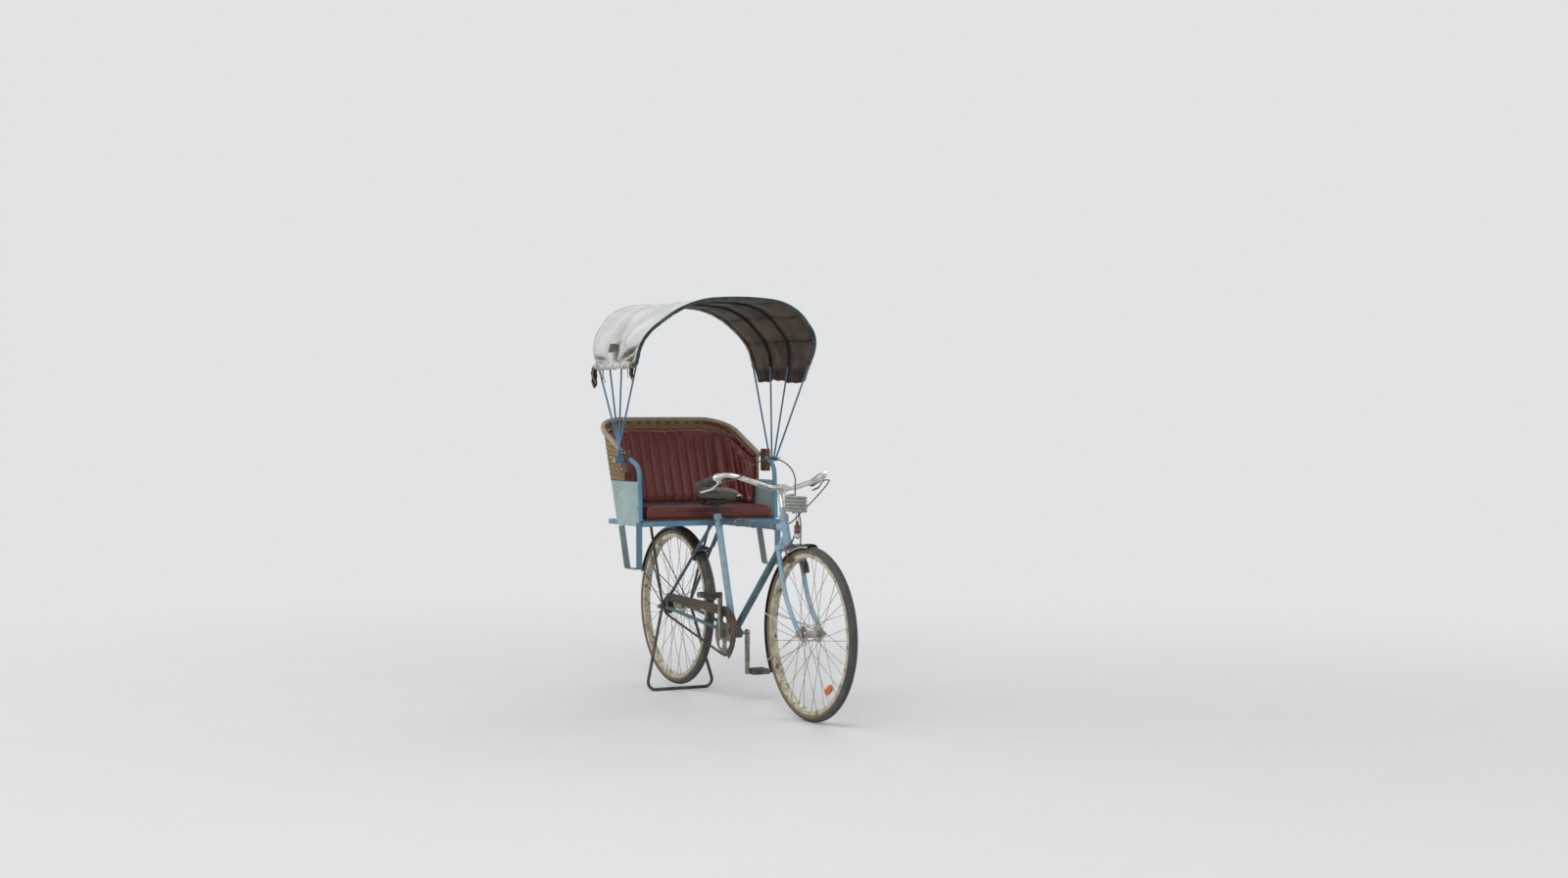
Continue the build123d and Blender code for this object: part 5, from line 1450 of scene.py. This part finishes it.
def cableMesh(name, points, body=None):
    # one open NURBS line through the route's points, with a round bevel, turned to a mesh
    curve = bpy.data.curves.new(name, "CURVE")
    curve.dimensions = "3D"
    spline = curve.splines.new("NURBS")
    spline.points.add(len(points) - 1)
    spline.points.foreach_set("co", np.column_stack([points, np.ones(len(points))]).ravel())
    spline.order_u, spline.use_endpoint_u = 3, True
    curve.resolution_u, curve.bevel_depth, curve.bevel_resolution = 24, cableLook["radius"], 3
    curve.use_fill_caps = True
    line = placed(name + "Line", curve)
    mesh = baked(line)
    bpy.data.objects.remove(line)
    mesh.name = name
    shaded(mesh, "blackSleeve")
    return placed(name, mesh, body)


def offBar(forward, side, up):
    # a place counted from the middle of the bar
    return barMiddle + np.array([forward, side, up])


def brakeCables():
    # From each lever in front of the bar: one to the front brake, one to the frame's stop.
    look = cableLook
    left, stop = np.array(look["lever"]), np.array(look["stop"])
    right = left * (1, -1, 1)
    front = [right, offBar(0, -0.208, 0.032), offBar(0.048, -0.160, 0.108),
             offBar(0.062, -0.060, 0.132), offBar(0.068, 0.026, 0.070),
             steered(0.040, 0.042, 0.583), steered(0.050, 0.050, 0.483),
             steered(0.038, 0.042, 0.413), np.array([0.4644, 0.0373, 0.6968])]
    frontCable = cableMesh("frontCable", np.array(front), "steering")
    rear = [left, offBar(0.006, 0.222, 0.034), offBar(0.052, 0.190, 0.020),
            offBar(0.072, 0.118, -0.040), offBar(0.048, 0.052, -0.108),
            stop + (0.050, 0.014, 0.014), stop + (0.0015, 0, 0)]
    rearLoop = cableMesh("rearLoop", np.array(rear))
    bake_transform(rearLoop)
    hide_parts("cable_loops")
    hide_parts("cable_loops")
    # ferrules where the outer sleeves end, and clips that hold the straight run to the tube
    turnedPieces("cableStop", stop, (1, 0, 0), look["ferrule"], 14, "hub", "frame", "hub_steel")
    turnedPieces("leverFerrules", np.array([right, left]),
                 np.array([front[1] - right, rear[1] - left]), look["ferrule"], 14, "hub",
                 "steering", "hub_steel")
    for number, forward in enumerate(look["clips"]):
        ring = ringPath(np.array([forward, 0.0026, 0.778]), [0, 0.0182, 0], [0, 0, 0.0152], 40)
        addRod(f"cableClip{number + 1}", ring, 0.0016, 8, (1, 0, 0), "hub", "frame", "hub_steel",
               closed=True)


brakeCables()
print("cables made")

# Small fittings
fittingLook = {
    # rows of rivets round the seat body: name, height, count, radius
    "rivets": (("bodyRivetsHigh", 0.9435, 46, 0.0032), ("bodyRivetsLow", 0.764, 34, 0.0036)),
    "nut": ((0, -0.001), (0.0094, -0.001), (0.0094, 0.0052), (0.0082, 0.0064), (0, 0.0064)),
    "washer": ((0, -0.0004), (0.0112, -0.0004), (0.0112, 0.0012), (0, 0.0012)),
    "wingNut": ((0, -0.0005), (0.0098, -0.0005), (0.0092, 0.003), (0.0068, 0.0078),
                (0.0058, 0.0086), (0, 0.0086)),
    # name, body, forward, up, side
    "nuts": (("rearNuts", "frame", 0.0, bike["rearAxle"], 0.0876),
             ("frontNuts", "steering", bike["wheelbase"], bike["frontAxle"], 0.0615)),
    "bolts": ((-0.427, 1.004), (-0.427, 1.072), (-0.400, 1.076)),
}


def bodyRivets():
    # at even steps round the seat body
    shares, front = wallShares(), seatLook["rimForward"]
    around = lengths(wallRow(0.9, 0.0, front, shares))
    for name, height, count, radius in fittingLook["rivets"]:
        row = wallRow(height, 0.0, front, shares)
        pick = np.interp(np.linspace(0.012, 0.988, count) * around[-1], around,
                         np.arange(len(around))).round().astype(int)
        turnedPieces(name, row[pick], wayOut(row)[pick], domeProfile(radius, radius * 0.45), 10,
                     "paleGreen", "frame", "pale_green_paint")


def nuts():
    # hexagon nuts with a washer on the wheels' axles, each way out from the middle
    look, ways = fittingLook, np.array([[0, 1.0, 0], [0, -1.0, 0]])
    for name, body, forward, up, side in look["nuts"]:
        places = at(forward, 0, up) + ways * side
        turnedPieces(name, places, ways, look["nut"], 6, "hub", body, "hub_steel", smooth=False)
        turnedPieces(name + "Washers", places, ways, look["washer"], 24, "hub", body,
                     "hub_steel", smooth=False)
    # wing nuts on the hood's pins
    for number, way in enumerate(ways):
        foot = at(bike["pin"][0], 0, bike["pin"][1]) + way * 0.4015
        turnedPieces(f"wingNut{number + 1}", foot, way, look["wingNut"], 20, "hub", "frame",
                     "hub_steel")
        for letter, angle in zip("ab", (0.35, 0.35 + math.pi)):
            out = np.array([math.cos(angle), 0, math.sin(angle)])
            roundedBlock(f"wing{number + 1}{letter}", foot + out * 0.0145 + way * 0.0062,
                         [out, way + out * 0.3, np.cross(out, [0, 1.0, 0])],
                         (0.0072, 0.0056, 0.0014), 0.55, "hub", "frame", "hub_steel")


def spokeReflector():
    # a rounded block between two spokes, its long side along the rim
    angle = math.radians(-55.4)
    out = np.array([math.cos(angle), 0, math.sin(angle)])
    across = np.array([0, 1.0, 0])
    roundedBlock("spokeReflector", at(bike["wheelbase"], 0, bike["frontAxle"]) + out * 0.256,
                 [np.cross(out, across), out, across], (0.026, 0.013, 0.0085), 0.35, "amber",
                 "front_wheel", "hub_steel")


def blockBolts():
    # through the wooden blocks, heads outside
    places = np.array([(x, side * 0.3586, z) for side in (1, -1)
                       for x, z in fittingLook["bolts"]])
    turnedPieces("blockBolts", places, np.sign(places) * [0, 1.0, 0], domeProfile(0.0056, 0.0026),
                 12, "hub", "frame", "hub_steel")


def padBead():
    # a bead along the pad's top edge
    run = np.linspace(0, 1, 420)[6:-6]
    bead = rimLine(420, -0.0068, seatLook["half"] - 0.0135)[6:-6]
    addRod("padBead", bead, 0.0078 + 0.0003 * np.sin(run * 260), 16, (0.3, 0, 1), "redVinyl",
           "frame", "red_vinyl")


bodyRivets()
nuts()
spokeReflector()
blockBolts()
padBead()
print("small fittings made")

# Stage, light and camera
lightLook = {
    "world": 0.62, "sky": (0.93, 0.96, 1, 1), "shown": srgb(226, 227, 228),
    "floor": srgb(226, 226, 224), "floorDark": srgb(222, 222, 220), "floorRadius": 60,
    # place, size, power
    "key": ((4.5, -4.0, 6.5), 5.0, 230), "fill": ((-5.0, -5.5, 4.0), 6.0, 110),
    "back": ((-4.0, 5.0, 5.0), 5.0, 110),
}
cameraLook = {"place": (8.4075, -4.412, 1.256), "heading": 151.17, "dip": 0.71, "lens": 50.85}


def plainStage():
    # A round floor, wide enough that its edge isn't seen.
    floor, turn = bpy.data.meshes.new("floor"), turns(96)
    ring = np.stack([np.cos(turn), np.sin(turn), 0 * turn], -1) * lightLook["floorRadius"]
    floor.from_pydata(ring.tolist(), [], [list(range(96))])
    # Far out, where lamps no longer reach, the floor takes the background's own colour, as seen
    # by the camera, in gloss and through glass.
    ground = Finish("paleFloor")
    ground.surface(ground.mix(ground.noise(3, 4), lightLook["floor"], lightLook["floorDark"]), 0.9)
    camera, gloss, through = (ground.node("LightPath", output=f"Is {ray} Ray")
                              for ray in ("Camera", "Glossy", "Transmission"))
    seen = ground.math("MAXIMUM", ground.math("MAXIMUM", camera, gloss), through)
    away = ground.node("VectorMath", {"operation": "LENGTH"}, {0: ground.coordinates}, output=1)
    glow = ground.node("Emission", None, {"Color": lightLook["shown"], "Strength": 1.0})
    both = ground.node("MixShader", None,
                       {0: seen * ground.step(away, 1.4, 6.0), 1: ground.shader, 2: glow})
    out = next(n for n in ground.tree.nodes if n.type == "OUTPUT_MATERIAL")
    ground.feed(out.inputs["Surface"], both)
    floor.materials.append(ground.material)
    placed("floor", floor)


def aimed(name, data, place, way):
    # something that looks along its own -Z, turned to look along way
    made = placed(name, data)
    made.location = place
    made.rotation_euler = way.to_track_quat("-Z", "Y").to_euler()
    return made


def softLight():
    # The world lights in one colour and shows another to the camera, in gloss and through glass.
    world = bpy.data.worlds.new("studio")
    scene.world = world
    world.use_nodes = True
    tree = world.node_tree
    tree.nodes.clear()
    path, plain, shown, first, second, blend, out = (
        tree.nodes.new("ShaderNode" + kind) for kind in (
            "LightPath", "Background", "Background", "Math", "Math", "MixShader", "OutputWorld"))
    for node, colour, strength in ((plain, lightLook["sky"], lightLook["world"]),
                                   (shown, lightLook["shown"], 1.0)):
        node.inputs[0].default_value, node.inputs[1].default_value = colour, strength
    first.operation = second.operation = "MAXIMUM"
    for start, output, end, place in (
            (path, "Is Camera Ray", first, 0), (path, "Is Glossy Ray", first, 1),
            (first, 0, second, 0), (path, "Is Transmission Ray", second, 1),
            (second, 0, blend, 0), (plain, 0, blend, 1), (shown, 0, blend, 2),
            (blend, 0, out, 0)):
        tree.links.new(start.outputs[output], end.inputs[place])
    for name in ("key", "fill", "back"):
        place, size, power = lightLook[name]
        lamp = bpy.data.lights.new(name, "AREA")
        lamp.size, lamp.energy = size, power
        aimed(name, lamp, place, Vector((0, 0, 0.8)) - Vector(place))


def placeCamera():
    # heading is counted from the scene's x towards its y, dip down from level
    camera = bpy.data.cameras.new("camera")
    camera.sensor_width, camera.lens = 36.0, cameraLook["lens"]
    camera.clip_start, camera.clip_end = 0.1, 200
    heading, dip = math.radians(cameraLook["heading"]), math.radians(cameraLook["dip"])
    way = Vector((math.cos(heading) * math.cos(dip), math.sin(heading) * math.cos(dip),
                  -math.sin(dip)))
    scene.camera = aimed("camera", camera, cameraLook["place"], way)


plainStage()
softLight()
placeCamera()
print("stage, light and camera placed")
